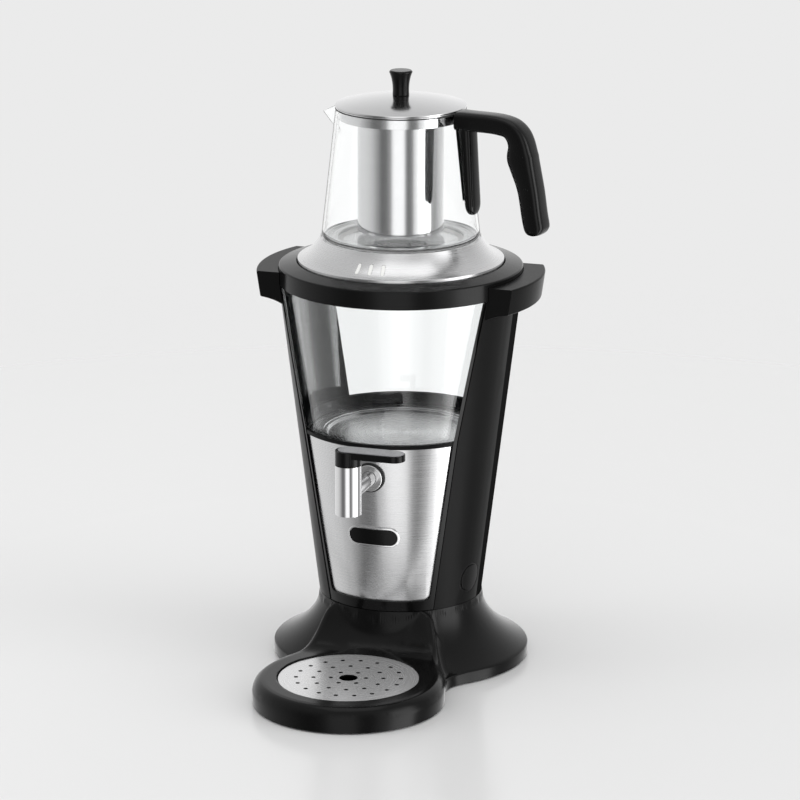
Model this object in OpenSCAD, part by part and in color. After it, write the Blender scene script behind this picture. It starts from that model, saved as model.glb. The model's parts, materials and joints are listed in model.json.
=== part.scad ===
// Electric samovar: glass water tank on a flared base, with a tap, a drip tray and a glass teapot on top.
// Frame: Z up, origin on the table under the body's axis, front towards -Y, teapot handle towards +X.

/* [Body] */
// Height of the seam between the base and the body
seam_z = 54; // [48:0.5:60]
// Radius of the body at the seam
seam_r = 66.6; // [64:0.1:70]
// Height of the tops of the columns
column_top_z = 312; // [300:1:330]
// Radius of the body at the tops of the columns
column_top_r = 98.2; // [94:0.1:102]
// Wall of the columns and of the rear housing
shell_wall = 3; // [2.4:0.1:3.6]
// Half width of the front window at the seam
window_half_bottom = 44; // [40:0.5:48]
// Half width of the front window at the band's top
window_half_band = 65.1; // [62:0.1:68]
// Half width of the front window at the column tops
window_half_top = 86.3; // [82:0.1:89]
// Half width of the rear window at the seam
rear_half_bottom = 41.5; // [37:0.5:46]
// Half width of the rear window at the column tops
rear_half_top = 81.5; // [76:0.5:86]
// Width of the gloss trim round the front window, along the body's face
frame_w = 5; // [4:0.1:7]
// Height of the trim's bottom bar
frame_bottom_h = 8.6; // [6:0.1:11]
// Depth of the trim below the faces of the columns
frame_recess = 0.6; // [0.4:0.1:1]
// Place of the joint between the columns and the rear housing, front to back
split_y = -6; // [-8:0.5:0]
// Depth of the rear housing below the faces of the columns
rear_recess = 0.5; // [0.3:0.1:1]
// Gap between neighbouring body parts
part_gap = 0.3; // [0.2:0.05:0.5]

/* [Front panel] */
// Depth of the steel panel below the faces of the columns
panel_recess = 2.2; // [1.8:0.1:2.3]
// Thickness of the steel panel
panel_t = 0.8; // [0.6:0.1:1]
// Radius of the panel's lower corners
panel_corner_r = 5; // [3:0.5:8]
// Height of the badge's centre
badge_z = 118.5; // [105:0.5:130]
// Width of the badge
badge_w = 43.5; // [34:0.5:48]
// Height of the badge
badge_h = 16.5; // [13:0.5:20]
// Width of the badge's rim
badge_rim_w = 1.6; // [1.2:0.1:2.4]
// Height of the badge's rim above the panel
badge_rim_t = 1.6; // [1.2:0.1:2]
// Height of the badge's field above the panel
badge_field_t = 1; // [0.6:0.1:1.1]

/* [Lugs] */
// Radius of the outer face of the lugs
lug_r = 116; // [110:0.5:122]
// Half width of the lugs, front to back
lug_half_w = 46; // [40:0.5:50]
// Height of the lugs' tops below the top of the ring's wall
lug_drop = 4; // [2:0.5:7]
// Height of the lugs' outer face
lug_face_h = 21; // [17:0.5:24]
// Height over which the lugs' undersides sweep down to the columns
lug_sweep_h = 5; // [4:0.5:10]
// Radius of the lugs' outer edges
lug_edge_r = 1.5; // [1:0.1:2.5]

/* [Upper ring] */
// Height of the ring's outer wall
ring_wall_h = 15; // [13:0.5:18]
// Rise of the ring's top from its outer edge to the lid
ring_rise = 3; // [2:0.1:4]
// Width of the ring's outer bevel
ring_bevel = 0.8; // [0.5:0.1:1.5]
// Thickness of the ring's ledge under the lid
ring_ledge_t = 4; // [3:0.5:5]
// Width of the ring's ledge under the lid
ring_ledge_w = 5; // [4:0.5:7]
// Depth of the ledge below the ring's inner edge
ring_ledge_drop = 9; // [8:0.5:10]
// Depth of the groove that takes the rim of the tank
ring_groove_h = 7.4; // [6:0.1:9]
// Width of the ring's inner leg
ring_leg_w = 3; // [2.4:0.1:4]

/* [Tank] */
// Wall of the glass tank
tank_wall = 3; // [2.4:0.1:3.6]
// Thickness of the seal under the tank
tank_seal_t = 1; // [0.8:0.1:1.2]
// Height of the band's top
band_top_z = 198; // [190:0.5:206]
// Depth of the band below the faces of the columns, where it shows at the front
band_recess = 1; // [0.8:0.1:1.3]
// Height of the band where it shows at the front
band_show_h = 3.5; // [3:0.1:5]
// Depth of the heater plate's flange below the band's top
plate_drop = 9.6; // [8:0.1:11]
// Radius of the heater plate's floor
plate_floor_r = 58.7; // [54:0.1:60]
// Depth of the heater plate's floor below its flange
plate_step = 2; // [1.5:0.1:3]
// Thickness of the heater plate
plate_t = 1.2; // [1:0.1:1.5]
// Height of the band's web under the heater plate
band_web_h = 3.5; // [3:0.1:5]
// Thickness of the band's outer leg
band_leg_t = 1.1; // [0.9:0.1:1.4]
// Width of the overlap between the heater plate's flange and the band's web
band_lap = 13; // [11:0.5:15]
// Radius of the heating element's ring
element_ring_r = 34; // [30:0.5:37]
// Radius of the heating element's tube
element_tube_r = 4; // [3:0.1:4.5]
// Radius of the thermostat
thermostat_r = 11; // [9:0.5:14]
// Height of the thermostat
thermostat_h = 9; // [7:0.5:12]

/* [Tap] */
// Distance of the spout's axis from the body's axis
tap_reach = 133; // [128:0.5:138]
// Height of the tap's horizontal stem
tap_z = 170; // [164:0.5:174]
// Radius of the spout
spout_r = 10.4; // [9.8:0.1:11.5]
// Height of the spout below the stem
spout_below = 14.5; // [12:0.5:20]
// Height of the spout above the stem
spout_above = 25.5; // [21:0.5:29]
// Radius of the outlet at the spout's foot
outlet_r = 5; // [4:0.1:5.5]
// Height of the spout's foot under the valve
spout_foot_h = 4; // [3:0.1:6]
// Radius of the valve plug's bore
valve_bore_r = 7; // [6.4:0.1:7.5]
// Radial clearance of the valve plug
valve_clear = 0.06; // [0.03:0.01:0.09]
// Radius of the stem
stem_r = 6; // [5:0.1:6.5]
// Radius of the stem's water way
stem_bore_r = 3.6; // [3:0.1:4]
// Radius of the steel rosette
rosette_r = 10.8; // [9.5:0.1:12.5]
// Thickness of the steel rosette
rosette_t = 2.4; // [2:0.1:4]
// Width of the gasket's rim round the rosette
gasket_rim = 1.3; // [1:0.1:2]
// Thickness of the gasket
gasket_t = 2; // [1.5:0.1:3]
// Length of the lever from the spout's axis
lever_len = 46.5; // [40:0.5:52]
// Width of the lever
lever_w = 18; // [15:0.5:20]
// Thickness of the lever's blade
lever_t = 5; // [4:0.1:6]
// Height of the lever's hub
lever_hub_h = 11.5; // [10:0.5:14]
// Thickness of the inlay on the lever
inlay_t = 0.8; // [0.6:0.1:1.2]
// Width of the lever's edge round the inlay
inlay_edge = 1; // [0.8:0.1:1.5]
// Gap between the lever's hub and the spout
lever_gap = 0.4; // [0.3:0.05:0.6]

/* [Base] */
// Half width of the base, left to right
base_half_x = 104.8; // [99:0.1:110]
// Half depth of the base, without the tray
base_half_y = 99.4; // [95:0.1:104]
// Height of the upright edge round the base
base_edge_h = 10; // [8.5:0.5:12]
// Height of the base above the table
base_lift = 1.2; // [1:0.1:2]
// Wall of the base
base_wall = 3; // [2.4:0.1:3.6]
// Thickness of the bottom cover
base_plate_t = 2; // [1.6:0.1:2.6]
// Radius of the hole in the base's deck for the leads
deck_hole_r = 40; // [34:0.5:44]
// Distance of the tray's centre in front of the body's axis
tray_reach = 134.5; // [131:0.5:138]
// Radius of the tray
tray_r = 76.4; // [73:0.1:79]
// Radius of the tray's flat rim
tray_rim_r = 68.5; // [65:0.5:70]
// Height of the tray's flat rim
tray_z = 21; // [19:0.5:25]
// Angle from the front to the deck's crest lines at the seam
crest_angle = 33; // [28:1:38]
// Distance in front of the seam at which the deck is level with the tray
deck_run = 24; // [18:0.5:28]
// Radius of the grille
grille_r = 55.9; // [53:0.1:58]
// Thickness of the grille
grille_t = 1.6; // [1.2:0.1:2.4]
// Depth of the grille's top below the tray's rim
grille_drop = 1; // [0.6:0.1:2]
// Radius of the grille's finger hole
grille_hole_r = 7.2; // [6:0.1:9]
// Radius of the grille's drain holes
drain_r = 1.6; // [1.2:0.1:2.2]
// Distance between the rows of drain holes
drain_pitch = 13.9; // [12:0.1:14.5]
// Width of the ledge that carries the grille
grille_ledge = 3.3; // [2.5:0.1:4.5]
// Clearance round the grille and the drip cup
drip_clear = 0.4; // [0.3:0.05:0.6]
// Wall of the drip cup
cup_wall = 1.5; // [1.2:0.1:2.2]
// Radius of the rubber ring foot
foot_r = 62; // [56:0.5:66]
// Width of the rubber ring foot
foot_w = 6; // [4:0.5:9]

/* [Switch] */
// Angle of the power button to the right of the front
button_angle = 72; // [66:1:76]
// Height of the power button
button_z = 75; // [72:0.5:90]
// Radius of the power button
button_r = 10.8; // [9:0.1:11.5]
// Length of the power button's skirt
button_h = 6; // [5:0.1:7]
// Radial clearance of the power button
button_clear = 0.15; // [0.1:0.01:0.2]
// Wall of the button's bezel
bezel_wall = 1.6; // [1.2:0.1:2]
// Travel of the power button
button_travel = 2; // [1.5:0.1:2.4]

/* [Cord gland] */
// Height of the cord gland at the back
gland_z = 82; // [74:0.5:100]
// Radius of the cord gland's bore
gland_bore_r = 3.7; // [3.2:0.1:4.2]
// Radius of the cord gland's sleeve
gland_r = 6; // [5.4:0.1:7]
// Radius of the cord gland's flange
gland_flange_r = 9.5; // [8.5:0.1:11]
// Thickness of the cord gland's flange
gland_flange_t = 3; // [2.5:0.1:4]
// Length of the cord gland
gland_len = 14; // [11:0.5:18]

/* [Electrics] */
// Width of the control board
board_w = 62; // [50:1:64]
// Depth of the control board
board_d = 44; // [36:1:46]
// Thickness of the control board
board_t = 1.6; // [1.2:0.1:2]
// Height of the posts under the control board
board_post_h = 12; // [8:0.5:14]
// Width of the terminal block
block_w = 30; // [26:1:34]
// Depth of the terminal block
block_d = 12; // [10:0.5:13]
// Height of the terminal block
block_h = 14; // [11:0.5:18]
// Radius of a lead
lead_r = 1.4; // [1:0.1:1.8]
// Length of the heating element's pins
pin_len = 14; // [10:0.5:18]
// Length of the thermal fuse
fuse_len = 20; // [16:0.5:24]
// Width of the relay on the board
relay_w = 19; // [15:0.5:21]
// Depth of the relay on the board
relay_d = 16; // [12:0.5:20]
// Height of the relay on the board
relay_h = 15; // [11:0.5:18]
// Radius of the capacitor on the board
capacitor_r = 5; // [4:0.1:5.5]
// Height of the capacitor on the board
capacitor_h = 14; // [10:0.5:18]
// Width of the plug on the board
header_w = 10; // [8:0.5:12]
// Depth of the plug on the board
header_d = 8; // [6:0.5:9]
// Height of the plug on the board
header_h = 7; // [5:0.5:9]

/* [Tank lid] */
// Radius of the lid's steel dome
dome_r = 83; // [80:0.1:85]
// Height of the dome
dome_h = 18.7; // [15:0.5:22]
// Thickness of the dome's sheet
dome_t = 1.2; // [1:0.1:1.5]
// Gap between the dome and the ring
dome_gap = 0.9; // [0.6:0.1:1.4]
// Depth of the pot's seat below the dome's upper edge
seat_drop = 1.6; // [1.2:0.1:2.4]
// Radius of the opening in the pot's seat
seat_hole_r = 50.5; // [47:0.1:53]
// Width of the dark groove round the warming plate
plate_groove = 2; // [1.5:0.1:3]
// Angle between the steam vents
vent_pitch = 8; // [7:0.5:10]
// Angle of the middle steam vent to the right of the front
vent_angle = -1; // [-4:0.5:4]
// Width of a steam vent
vent_w = 3.2; // [2.6:0.1:4]
// Length of a steam vent across the dome
vent_len = 8; // [6:0.5:10]
// Height of the lid's plug inside the ring
skirt_h = 6.5; // [5:0.5:7]
// Width of the lid's plug
skirt_w = 6; // [4:0.5:8]
// Thickness of the lid's seal
seal_t = 1.2; // [0.8:0.1:1.6]

/* [Teapot] */
// Radius of the pot's foot
pot_foot_r = 63.4; // [59:0.1:67]
// Radius of the pot's rim
pot_rim_r = 51.9; // [48:0.1:55]
// Height of the pot
pot_h = 106; // [95:0.1:115]
// Wall of the pot
pot_wall = 2.2; // [1.8:0.1:2.8]
// Thickness of the pot's floor
pot_floor_t = 3; // [2.5:0.1:4]
// Radius of the pot's foot corner
pot_corner_r = 5; // [3.5:0.5:7]
// Reach of the pouring lip beyond the pot's rim
lip_reach = 20; // [14:0.5:24]
// Depth of the pouring lip's root below the rim
lip_depth = 27; // [20:0.5:32]
// Half width of the pouring lip at the rim
lip_half_w = 13; // [9:0.5:16]
// Drop of the lip's tip below the rim
lip_drop = 10; // [5:0.5:13]
// Angle by which the pot stands turned, its handle towards the front
pot_turn = 10.5; // [0:0.5:20]
// Clearance between the pot and its seat
seat_gap = 0.2; // [0.1:0.05:0.3]
// Reach of the handle from the pot's axis to the middle of the grip's end
handle_reach = 122.5; // [118:0.5:128]
// Thickness of the handle's arm
arm_t = 15.2; // [13:0.1:17]
// Width of the handle
handle_w = 20; // [17:0.5:24]
// Width of the handle where it holds the pot's neck
yoke_w = 33; // [27:0.5:36]
// Depth of the arm's middle below the pot's rim
arm_drop = 5.2; // [4.5:0.1:8]
// Height of the grip's end above the pot's foot
grip_end = 15; // [11:0.5:19]
// Width of the tongue along the glass
tongue_w = 18; // [15:0.5:22]
// Thickness of the tongue along the glass, at its tip
tongue_t = 8.6; // [7:0.1:10]
// Thickness of the tongue along the glass, under the arm
tongue_root_t = 12.4; // [10.5:0.1:14]
// Height of the tongue's tip above the pot's foot
tongue_end = 25.5; // [19:0.5:31]
// Thickness of the bond between the handle and the glass
bond_t = 0.4; // [0.3:0.05:0.6]

/* [Infuser and pot lid] */
// Radius of the infuser's basket
basket_r = 34.7; // [31:0.1:38]
// Thickness of the infuser's sheet
basket_t = 0.8; // [0.6:0.1:1]
// Height of the infuser's collar
collar_h = 9; // [8:0.5:12]
// Gap between the infuser's collar and the glass
collar_gap = 0.7; // [0.5:0.1:1]
// Gap between the basket's foot and the pot's floor
basket_lift = 4; // [3:0.1:6]
// Radius of the strainer's holes
strain_r = 1.1; // [0.8:0.1:1.3]
// Distance between the strainer's holes
strain_pitch = 5; // [4.6:0.1:6]
// Distance of the pot lid's edge beyond the pot's rim
lid_overhang = 0.5; // [0.3:0.1:1]
// Thickness of the pot lid's edge
pot_lid_edge = 1.3; // [1:0.1:1.8]
// Rise of the pot lid to its middle
pot_lid_rise = 7.2; // [5:0.1:9]
// Depth of the pot lid's plug
plug_h = 6; // [4:0.5:8]
// Height of the knob
knob_h = 20; // [16.5:0.1:23]
// Radius of the knob's top
knob_top_r = 9.3; // [8:0.1:11]
// Radius of the knob's waist
knob_waist_r = 6.5; // [5.5:0.1:7.5]

/* [Hidden] */
$fn = 160;
eps = 0.05;
far = 600;
face_gap = 0.1;

// Body cone and window
body_slope = (column_top_r - seam_r) / (column_top_z - seam_z);
shell_z0 = seam_z + part_gap;
panel_z0 = shell_z0 + frame_bottom_h;
panel_z1 = band_top_z - band_show_h - part_gap;
function body_r(z) = seam_r + (z - seam_z) * body_slope;
turn_bottom = cos(asin(window_half_bottom / seam_r));
turn_top = cos(asin(window_half_top / column_top_r));
function along(z0, z1, a, b, z) = a + (b - a) * (z - z0) / (z1 - z0);
function between(bottom, top, z) = along(seam_z, column_top_z, bottom, top, z);
function window_side(z) = z < band_top_z
    ? along(seam_z, band_top_z, window_half_bottom, window_half_band, z)
    : along(band_top_z, column_top_z, window_half_band, window_half_top, z);
function window_half(z, inset) = window_side(z) - inset * between(turn_bottom, turn_top, z);

// Tank
band_outer_inset = shell_wall + part_gap;
glass_inset = band_outer_inset + band_leg_t + part_gap;
flange_top_z = band_top_z - plate_drop;
flange_z = flange_top_z - plate_t;
web_top_z = flange_z - part_gap;
web_z = web_top_z - band_web_h;
tank_z0 = web_top_z + tank_seal_t;
plate_floor_z = flange_z - plate_step;
plate_edge_r = body_r(flange_top_z) - glass_inset - tank_wall - part_gap;

// Upper ring
ring_z = column_top_z + part_gap;
ring_r = column_top_r + face_gap;
ring_edge_z = ring_z + ring_wall_h;
ring_inner_r = dome_r + dome_gap;
ring_top_z = ring_edge_z + ring_rise;
ledge_z = ring_top_z - ring_ledge_drop;
ledge_r = ring_inner_r - ring_ledge_w;
groove_z = ring_z + ring_groove_h;
tank_z1 = groove_z - part_gap;

// Lugs
lug_top_z = ring_edge_z - lug_drop;
lug_face_z = lug_top_z - lug_face_h;
lug_foot_z = lug_face_z - lug_sweep_h;

// Base, tray and drip set
plate_top_z = base_lift + base_plate_t;
recess_r = grille_r + drip_clear;
well_r = recess_r - grille_ledge;
well_floor_z = plate_top_z;
grille_z = tray_z - grille_drop - grille_t;
ledge_top_z = grille_z - face_gap;
cup_r = well_r - drip_clear;
cup_z = well_floor_z + face_gap;
cup_top_z = ledge_top_z - drip_clear;
post_r = 4.5;
post_ring_r = (deck_hole_r + seam_r - base_wall) / 2;
post_places = [for (a = [33, 147, 213, 327]) post_ring_r * [cos(a), sin(a)]];
screw_r = 1.5;
screw_head_r = 3;
screw_head_h = 1.2;
screw_len = 12;
screw_clear = 0.2;

// Tap
spout_z = tap_z - spout_below;
spout_top_z = tap_z + spout_above;
hub_z = spout_top_z + lever_gap;
lever_top_z = hub_z + lever_hub_h;
panel_face_r = body_r(tap_z) - panel_recess;
gasket_face = panel_face_r + gasket_t;
rosette_face = gasket_face + rosette_t;
stem_start = panel_face_r - 15;
stem_end = tap_reach - valve_bore_r - part_gap;
elbow_r = stem_r + 1;
elbow_y = element_ring_r + element_tube_r + elbow_r + 3;
nut_t = 4.5;
plug_r = valve_bore_r - valve_clear;
drive_r = 4;
drive_h = lever_hub_h / 2;

// Power button, on the right column
button_face_r = body_r(button_z);
bezel_in_r = button_r + button_clear;
bezel_out_r = bezel_in_r + bezel_wall;
bezel_back_t = 2;
bezel_depth = button_h + button_travel + bezel_back_t + part_gap;
button_wall = 2;
button_front_t = 2.5;
button_proud = 0.4;
switch_size = 13;
switch_h = 8;
plunger_r = 2.5;

// Electrics
board_z = plate_top_z + board_post_h;
board_y = -8;
board_post_r = 2.5;
board_inset = 4;
part_margin = 7;
block_y = board_y + board_d / 2 + block_d / 2 + 8;
block_pitch = block_w / 3;
block_bore_r = 2.5;
block_bore_h = 5;
element_end = 15;
pin_r = 2;
fuse_r = 3;

// Tank lid
dome_z = ring_top_z + dome_gap;
dome_top_z = dome_z + dome_h;
dome_rim_w = 0.7;
dome_top_r = pot_foot_r + dome_rim_w + 0.8;
seat_z = dome_top_z - seat_drop;
lip_z = seat_z - dome_t;
seal_z = ledge_z + part_gap;
skirt_z = seal_z + seal_t;
skirt_r = dome_r - dome_t - face_gap;
warm_r = seat_hole_r - plate_groove;
warm_flange_r = seat_hole_r + 6;
warm_drop = 2;
warm_t = 1.2;
warm_z = seat_z - warm_drop;
spacer_w = 1.5;
spacer_h = 2.4;
warm_flange_z = lip_z - spacer_h - face_gap;
vent_r = (dome_r + dome_top_r) / 2;

// Teapot
pot_z = seat_z + seat_gap;
pot_rim_z = pot_z + pot_h;
pot_floor_z = pot_z + pot_floor_t;
pot_slope = (pot_foot_r - pot_rim_r) / (pot_h - pot_corner_r);
function pot_r(z) = pot_foot_r - (z - pot_z - pot_corner_r) * pot_slope;
arm_z = pot_rim_z - arm_drop;
grip_z = pot_z + grip_end;
tongue_z = pot_z + tongue_end;
lid_room = 0.6;

// Infuser and pot lid
collar_r = pot_rim_r - pot_wall - collar_gap;
flange_rest_z = pot_rim_z + seat_gap;
collar_z = flange_rest_z - collar_h;
basket_z = pot_floor_z + basket_lift;
pot_lid_z = flange_rest_z + basket_t + seat_gap;
lid_plug_r = collar_r - basket_t - collar_gap;
pot_lid_r = pot_rim_r + lid_overhang;
lid_bend_r = pot_lid_r / 2;
lid_bend = 0.66;
function lid_under_z(r) = pot_lid_z + pot_lid_rise * (1 - (1 - lid_bend) * r / lid_bend_r);
knob_z = pot_lid_z + pot_lid_edge + pot_lid_rise + face_gap / 2;
knob_bore_h = 10;
knob_head_r = 3.5;
knob_head_h = 2;

// Curves
function bezier(p, t) = len(p) == 1 ? p[0] :
    bezier([for (i = [0 : len(p) - 2]) p[i] * (1 - t) + p[i + 1] * t], t);
function curve(p, steps) = [for (i = [0 : steps]) bezier(p, i / steps)];
function arc(c, r, a0, a1, steps) =
    [for (i = [0 : steps]) c + r * [cos(a0 + (a1 - a0) * i / steps), sin(a0 + (a1 - a0) * i / steps)]];

// Closed solid through a list of rings, from the first ring to the last
module loft(rings) {
    n = len(rings[0]);
    last = len(rings) - 1;
    points = [for (ring = rings) each ring];
    sides = [for (i = [0 : last - 1], j = [0 : n - 1]) let (k = (j + 1) % n)
        each [[i * n + j, (i + 1) * n + j, (i + 1) * n + k], [i * n + j, (i + 1) * n + k, i * n + k]]];
    ends = [[for (j = [0 : n - 1]) j], [for (j = [0 : n - 1]) last * n + n - 1 - j]];
    polyhedron(points, concat(sides, ends), convexity = 8);
}

// Shell of the body's cone between two depths below its face
module body_shell(z0, z1, outer, inner) {
    rotate_extrude()
        polygon([[body_r(z0) - inner, z0], [body_r(z0) - outer, z0],
                 [body_r(z1) - outer, z1], [body_r(z1) - inner, z1]]);
}

// Everything inside the body's cone at a depth below its face
module body_core(z0, z1, inset) {
    rotate_extrude()
        polygon([[0, z0], [body_r(z0) - inset, z0], [body_r(z1) - inset, z1], [0, z1]]);
}

// Prism of the front window, drawn in along the body's face, with its lower corners rounded
module window(inset, z0, z1, corner = 0) {
    b = window_half(z0, inset);
    t = window_half(z1, inset);
    bend_z = min(band_top_z, z1);
    bend = window_half(bend_z, inset);
    slope = (bend - b) / (bend_z - z0);
    lean = atan(slope);
    centre = [b + corner * slope - corner / cos(lean), z0 + corner];
    corner_pts = corner == 0 ? [[b, z0]] : arc(centre, corner, -90, -lean, 6);
    left_pts = [for (i = [len(corner_pts) - 1 : -1 : 0]) [-corner_pts[i][0], corner_pts[i][1]]];
    side_pts = z1 > band_top_z ? [[bend, bend_z]] : [];
    far_side_pts = [for (p = side_pts) [-p[0], p[1]]];
    rotate([90, 0, 0])
        linear_extrude(far)
            polygon(concat(corner_pts, side_pts, [[t, z1], [-t, z1]], far_side_pts, left_pts));
}

// Prism of the rear window
module rear_window(z0, z1) {
    b = between(rear_half_bottom, rear_half_top, z0);
    t = between(rear_half_bottom, rear_half_top, z1);
    rotate([90, 0, 180])
        linear_extrude(far)
            polygon([[b, z0], [t, z1], [-t, z1], [-b, z0]]);
}

// Bar along -Y between two distances in front of the axis
module front_bar(y0, y1, r, z, sides = $fn) {
    translate([0, -y0, z])
        rotate([90, 0, 0])
            cylinder(r = r, h = y1 - y0, $fn = sides);
}

// Bar along a line out of the body at the power button's angle
module button_bar(d0, d1, r) {
    rotate([0, 0, button_angle - 90])
        translate([d0, 0, button_z])
            rotate([0, 90, 0])
                cylinder(r = r, h = d1 - d0);
}

// Flat plate with one round end, along X from the origin
module tongue_plate(len, w, h) {
    translate([0, -w / 2, 0])
        cube([len - w / 2, w, h]);
    translate([len - w / 2, 0, 0])
        cylinder(d = w, h = h);
}

module stadium(w, h) {
    for (s = [-1, 1])
        translate([s * (w - h) / 2, 0])
            circle(d = h);
    square([w - h, h], center = true);
}

module stadium_bar(w, h, z) {
    translate([0, 0, z])
        rotate([90, 0, 0])
            linear_extrude(far)
                stadium(w, h);
}

// Base
flare_curve = curve([[0, 1], [0.02, 0.435], [0.69, 0.13], [1, 0]], 11);
flare_sides = 60;
function flare_ring(f, z, inset) = [for (i = [0 : flare_sides - 1]) let (a = 360 * i / flare_sides)
    [(seam_r + (base_half_x - seam_r) * f - inset) * cos(a),
     (seam_r + (base_half_y - seam_r) * f - inset) * sin(a), z]];

module flare(inset, drop, bottom) {
    rise = seam_z - base_edge_h;
    walls = [for (i = [len(flare_curve) - 1 : -1 : 0])
        flare_ring(flare_curve[i][0], base_edge_h + rise * flare_curve[i][1] - drop, inset)];
    loft(concat([flare_ring(1, bottom, inset)], walls));
}

module at_tray() {
    translate([0, -tray_reach, 0])
        children();
}

// Deck that runs down from the seam to the tray between two crest lines
crest_x = seam_r * sin(crest_angle);
crest_y = seam_r * cos(crest_angle);
deck_end = seam_r + deck_run;
deck_collar = 0.8;
deck_curve = curve([[crest_y, seam_z], [seam_r - 3.6, seam_z - 7], [seam_r + 0.9, tray_z],
                    [deck_end, tray_z]], 10);
deck_path = concat(deck_curve, [[deck_end + 10, tray_z - face_gap / 2]]);
function deck_half(y) = crest_x + (tray_rim_r - crest_x) * sin(90 * (y - crest_y) / (tray_reach - crest_y));

module deck() {
    fall_w = tray_r - tray_rim_r - 1;
    fall_h = tray_z - base_edge_h;
    foot_z = base_lift + 1;
    loft([for (p = deck_path) let (w = deck_half(p[0]), side = w + fall_w)
        [[side, -p[0], foot_z], [side, -p[0], p[1] - fall_h], [w, -p[0], p[1]],
         [-w, -p[0], p[1]], [-side, -p[0], p[1] - fall_h], [-side, -p[0], foot_z]]]);
}

// Room above the deck, clear of a collar under the seam
module deck_room() {
    difference() {
        loft([for (p = deck_path) let (w = deck_half(p[0]))
            [[w, -p[0], p[1]], [w, -p[0], seam_z + 1], [-w, -p[0], seam_z + 1], [-w, -p[0], p[1]]]]);
        cylinder(r = seam_r + deck_collar, h = far);
    }
}

module tray_body() {
    shoulder = curve([[tray_r, base_edge_h], [tray_r - 0.6, tray_z - 1.6], [tray_rim_r, tray_z]], 6);
    at_tray()
        rotate_extrude()
            polygon(concat([[0, base_lift], [tray_r, base_lift]], shoulder, [[0, tray_z]]));
}

module base_shell() {
    color("#232323")
        difference() {
            union() {
                difference() {
                    union() {
                        difference() {
                            flare(0, 0, base_lift);
                            deck_room();
                        }
                        deck();
                        tray_body();
                    }
                    difference() {
                        flare(base_wall, base_wall, 0);
                        at_tray()
                            cylinder(r = recess_r + base_wall, h = seam_z);
                    }
                    at_tray()
                        translate([0, 0, -eps])
                            difference() {
                                cylinder(r = tray_r - base_wall, h = tray_z - base_wall);
                                cylinder(r = recess_r + base_wall, h = seam_z);
                            }
                    cylinder(r = deck_hole_r, h = far);
                }
                for (p = post_places)
                    translate([p[0], p[1], plate_top_z + face_gap])
                        cylinder(r = post_r, h = seam_z - base_wall / 2 - plate_top_z);
            }
            at_tray() {
                translate([0, 0, ledge_top_z])
                    cylinder(r = recess_r, h = far);
                translate([0, 0, well_floor_z])
                    cylinder(r = well_r, h = far);
            }
            for (p = post_places)
                translate([p[0], p[1], 0])
                    cylinder(r = screw_r, h = base_lift + screw_len + 1);
        }
}

module base_plate() {
    inset = base_wall + part_gap;
    color("#2b2b2b")
        difference() {
            translate([0, 0, base_lift])
                linear_extrude(base_plate_t)
                    polygon([for (p = flare_ring(1, 0, inset)) [p[0], p[1]]]);
            at_tray()
                cylinder(r = recess_r + base_wall + part_gap, h = far);
            for (p = post_places)
                translate([p[0], p[1], 0]) {
                    cylinder(r = screw_r + screw_clear, h = far);
                    cylinder(r = screw_head_r + screw_clear, h = base_lift + screw_head_h + face_gap);
                }
        }
}

module base_screws() {
    color("silver")
        for (p = post_places)
            translate([p[0], p[1], base_lift]) {
                cylinder(r = screw_head_r, h = screw_head_h);
                cylinder(r = screw_r, h = screw_len);
            }
}

module rubber_feet() {
    color("#3a3a3a") {
        difference() {
            cylinder(r = foot_r, h = base_lift);
            translate([0, 0, -eps])
                cylinder(r = foot_r - foot_w, h = far);
        }
        at_tray()
            for (a = [210, 330])
                rotate([0, 0, a])
                    translate([well_r - 2 * foot_w, 0, 0])
                        cylinder(r = foot_w, h = base_lift);
    }
}

module rear_bar(y0, y1, r, z) {
    translate([0, y0, z])
        rotate([-90, 0, 0])
            cylinder(r = r, h = y1 - y0);
}

module cord_gland() {
    face = body_r(gland_z) - rear_recess;
    color("#1d1d1d")
        difference() {
            union() {
                rear_bar(face + gland_flange_t - gland_len, face + gland_flange_t, gland_r, gland_z);
                difference() {
                    rear_bar(face - shell_wall, face + gland_flange_t, gland_flange_r, gland_z);
                    body_core(shell_z0, band_top_z, rear_recess - eps);
                }
            }
            rear_bar(0, far, gland_bore_r, gland_z);
        }
}

module drip_cup() {
    color("#2e2e2e")
        at_tray()
            difference() {
                translate([0, 0, cup_z])
                    cylinder(r = cup_r, h = cup_top_z - cup_z);
                translate([0, 0, cup_z + cup_wall])
                    cylinder(r = cup_r - cup_wall, h = far);
            }
}

module drip_grille() {
    color("#c9cacb")
        at_tray()
            difference() {
                translate([0, 0, grille_z])
                    cylinder(r = grille_r, h = grille_t);
                cylinder(r = grille_hole_r, h = far);
                for (row = [1 : 3], i = [0 : 6 * row - 1])
                    rotate([0, 0, 360 * i / (6 * row) + 15])
                        translate([row * drain_pitch, 0, 0])
                            cylinder(r = drain_r, h = far);
            }
}

// Body
module side_half(s) {
    translate([s > 0 ? 0 : -far, split_y - far, 0])
        cube([far, far - part_gap / 2, far]);
}

module right_column() {
    color("#262626")
        difference() {
            intersection() {
                body_shell(shell_z0, column_top_z, 0, shell_wall);
                side_half(1);
            }
            window(0, 0, far);
            button_bar(0, far, bezel_out_r + eps);
        }
}

module left_column() {
    color("#262626")
        difference() {
            intersection() {
                body_shell(shell_z0, column_top_z, 0, shell_wall);
                side_half(-1);
            }
            window(0, 0, far);
        }
}

module rear_housing() {
    color("#151515")
        difference() {
            intersection() {
                body_shell(shell_z0, column_top_z, rear_recess, shell_wall);
                translate([-far / 2, split_y + part_gap / 2, 0])
                    cube([far, far, far]);
            }
            rear_window(band_top_z, far);
            rear_bar(0, far, gland_r + eps, gland_z);
        }
}

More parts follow.
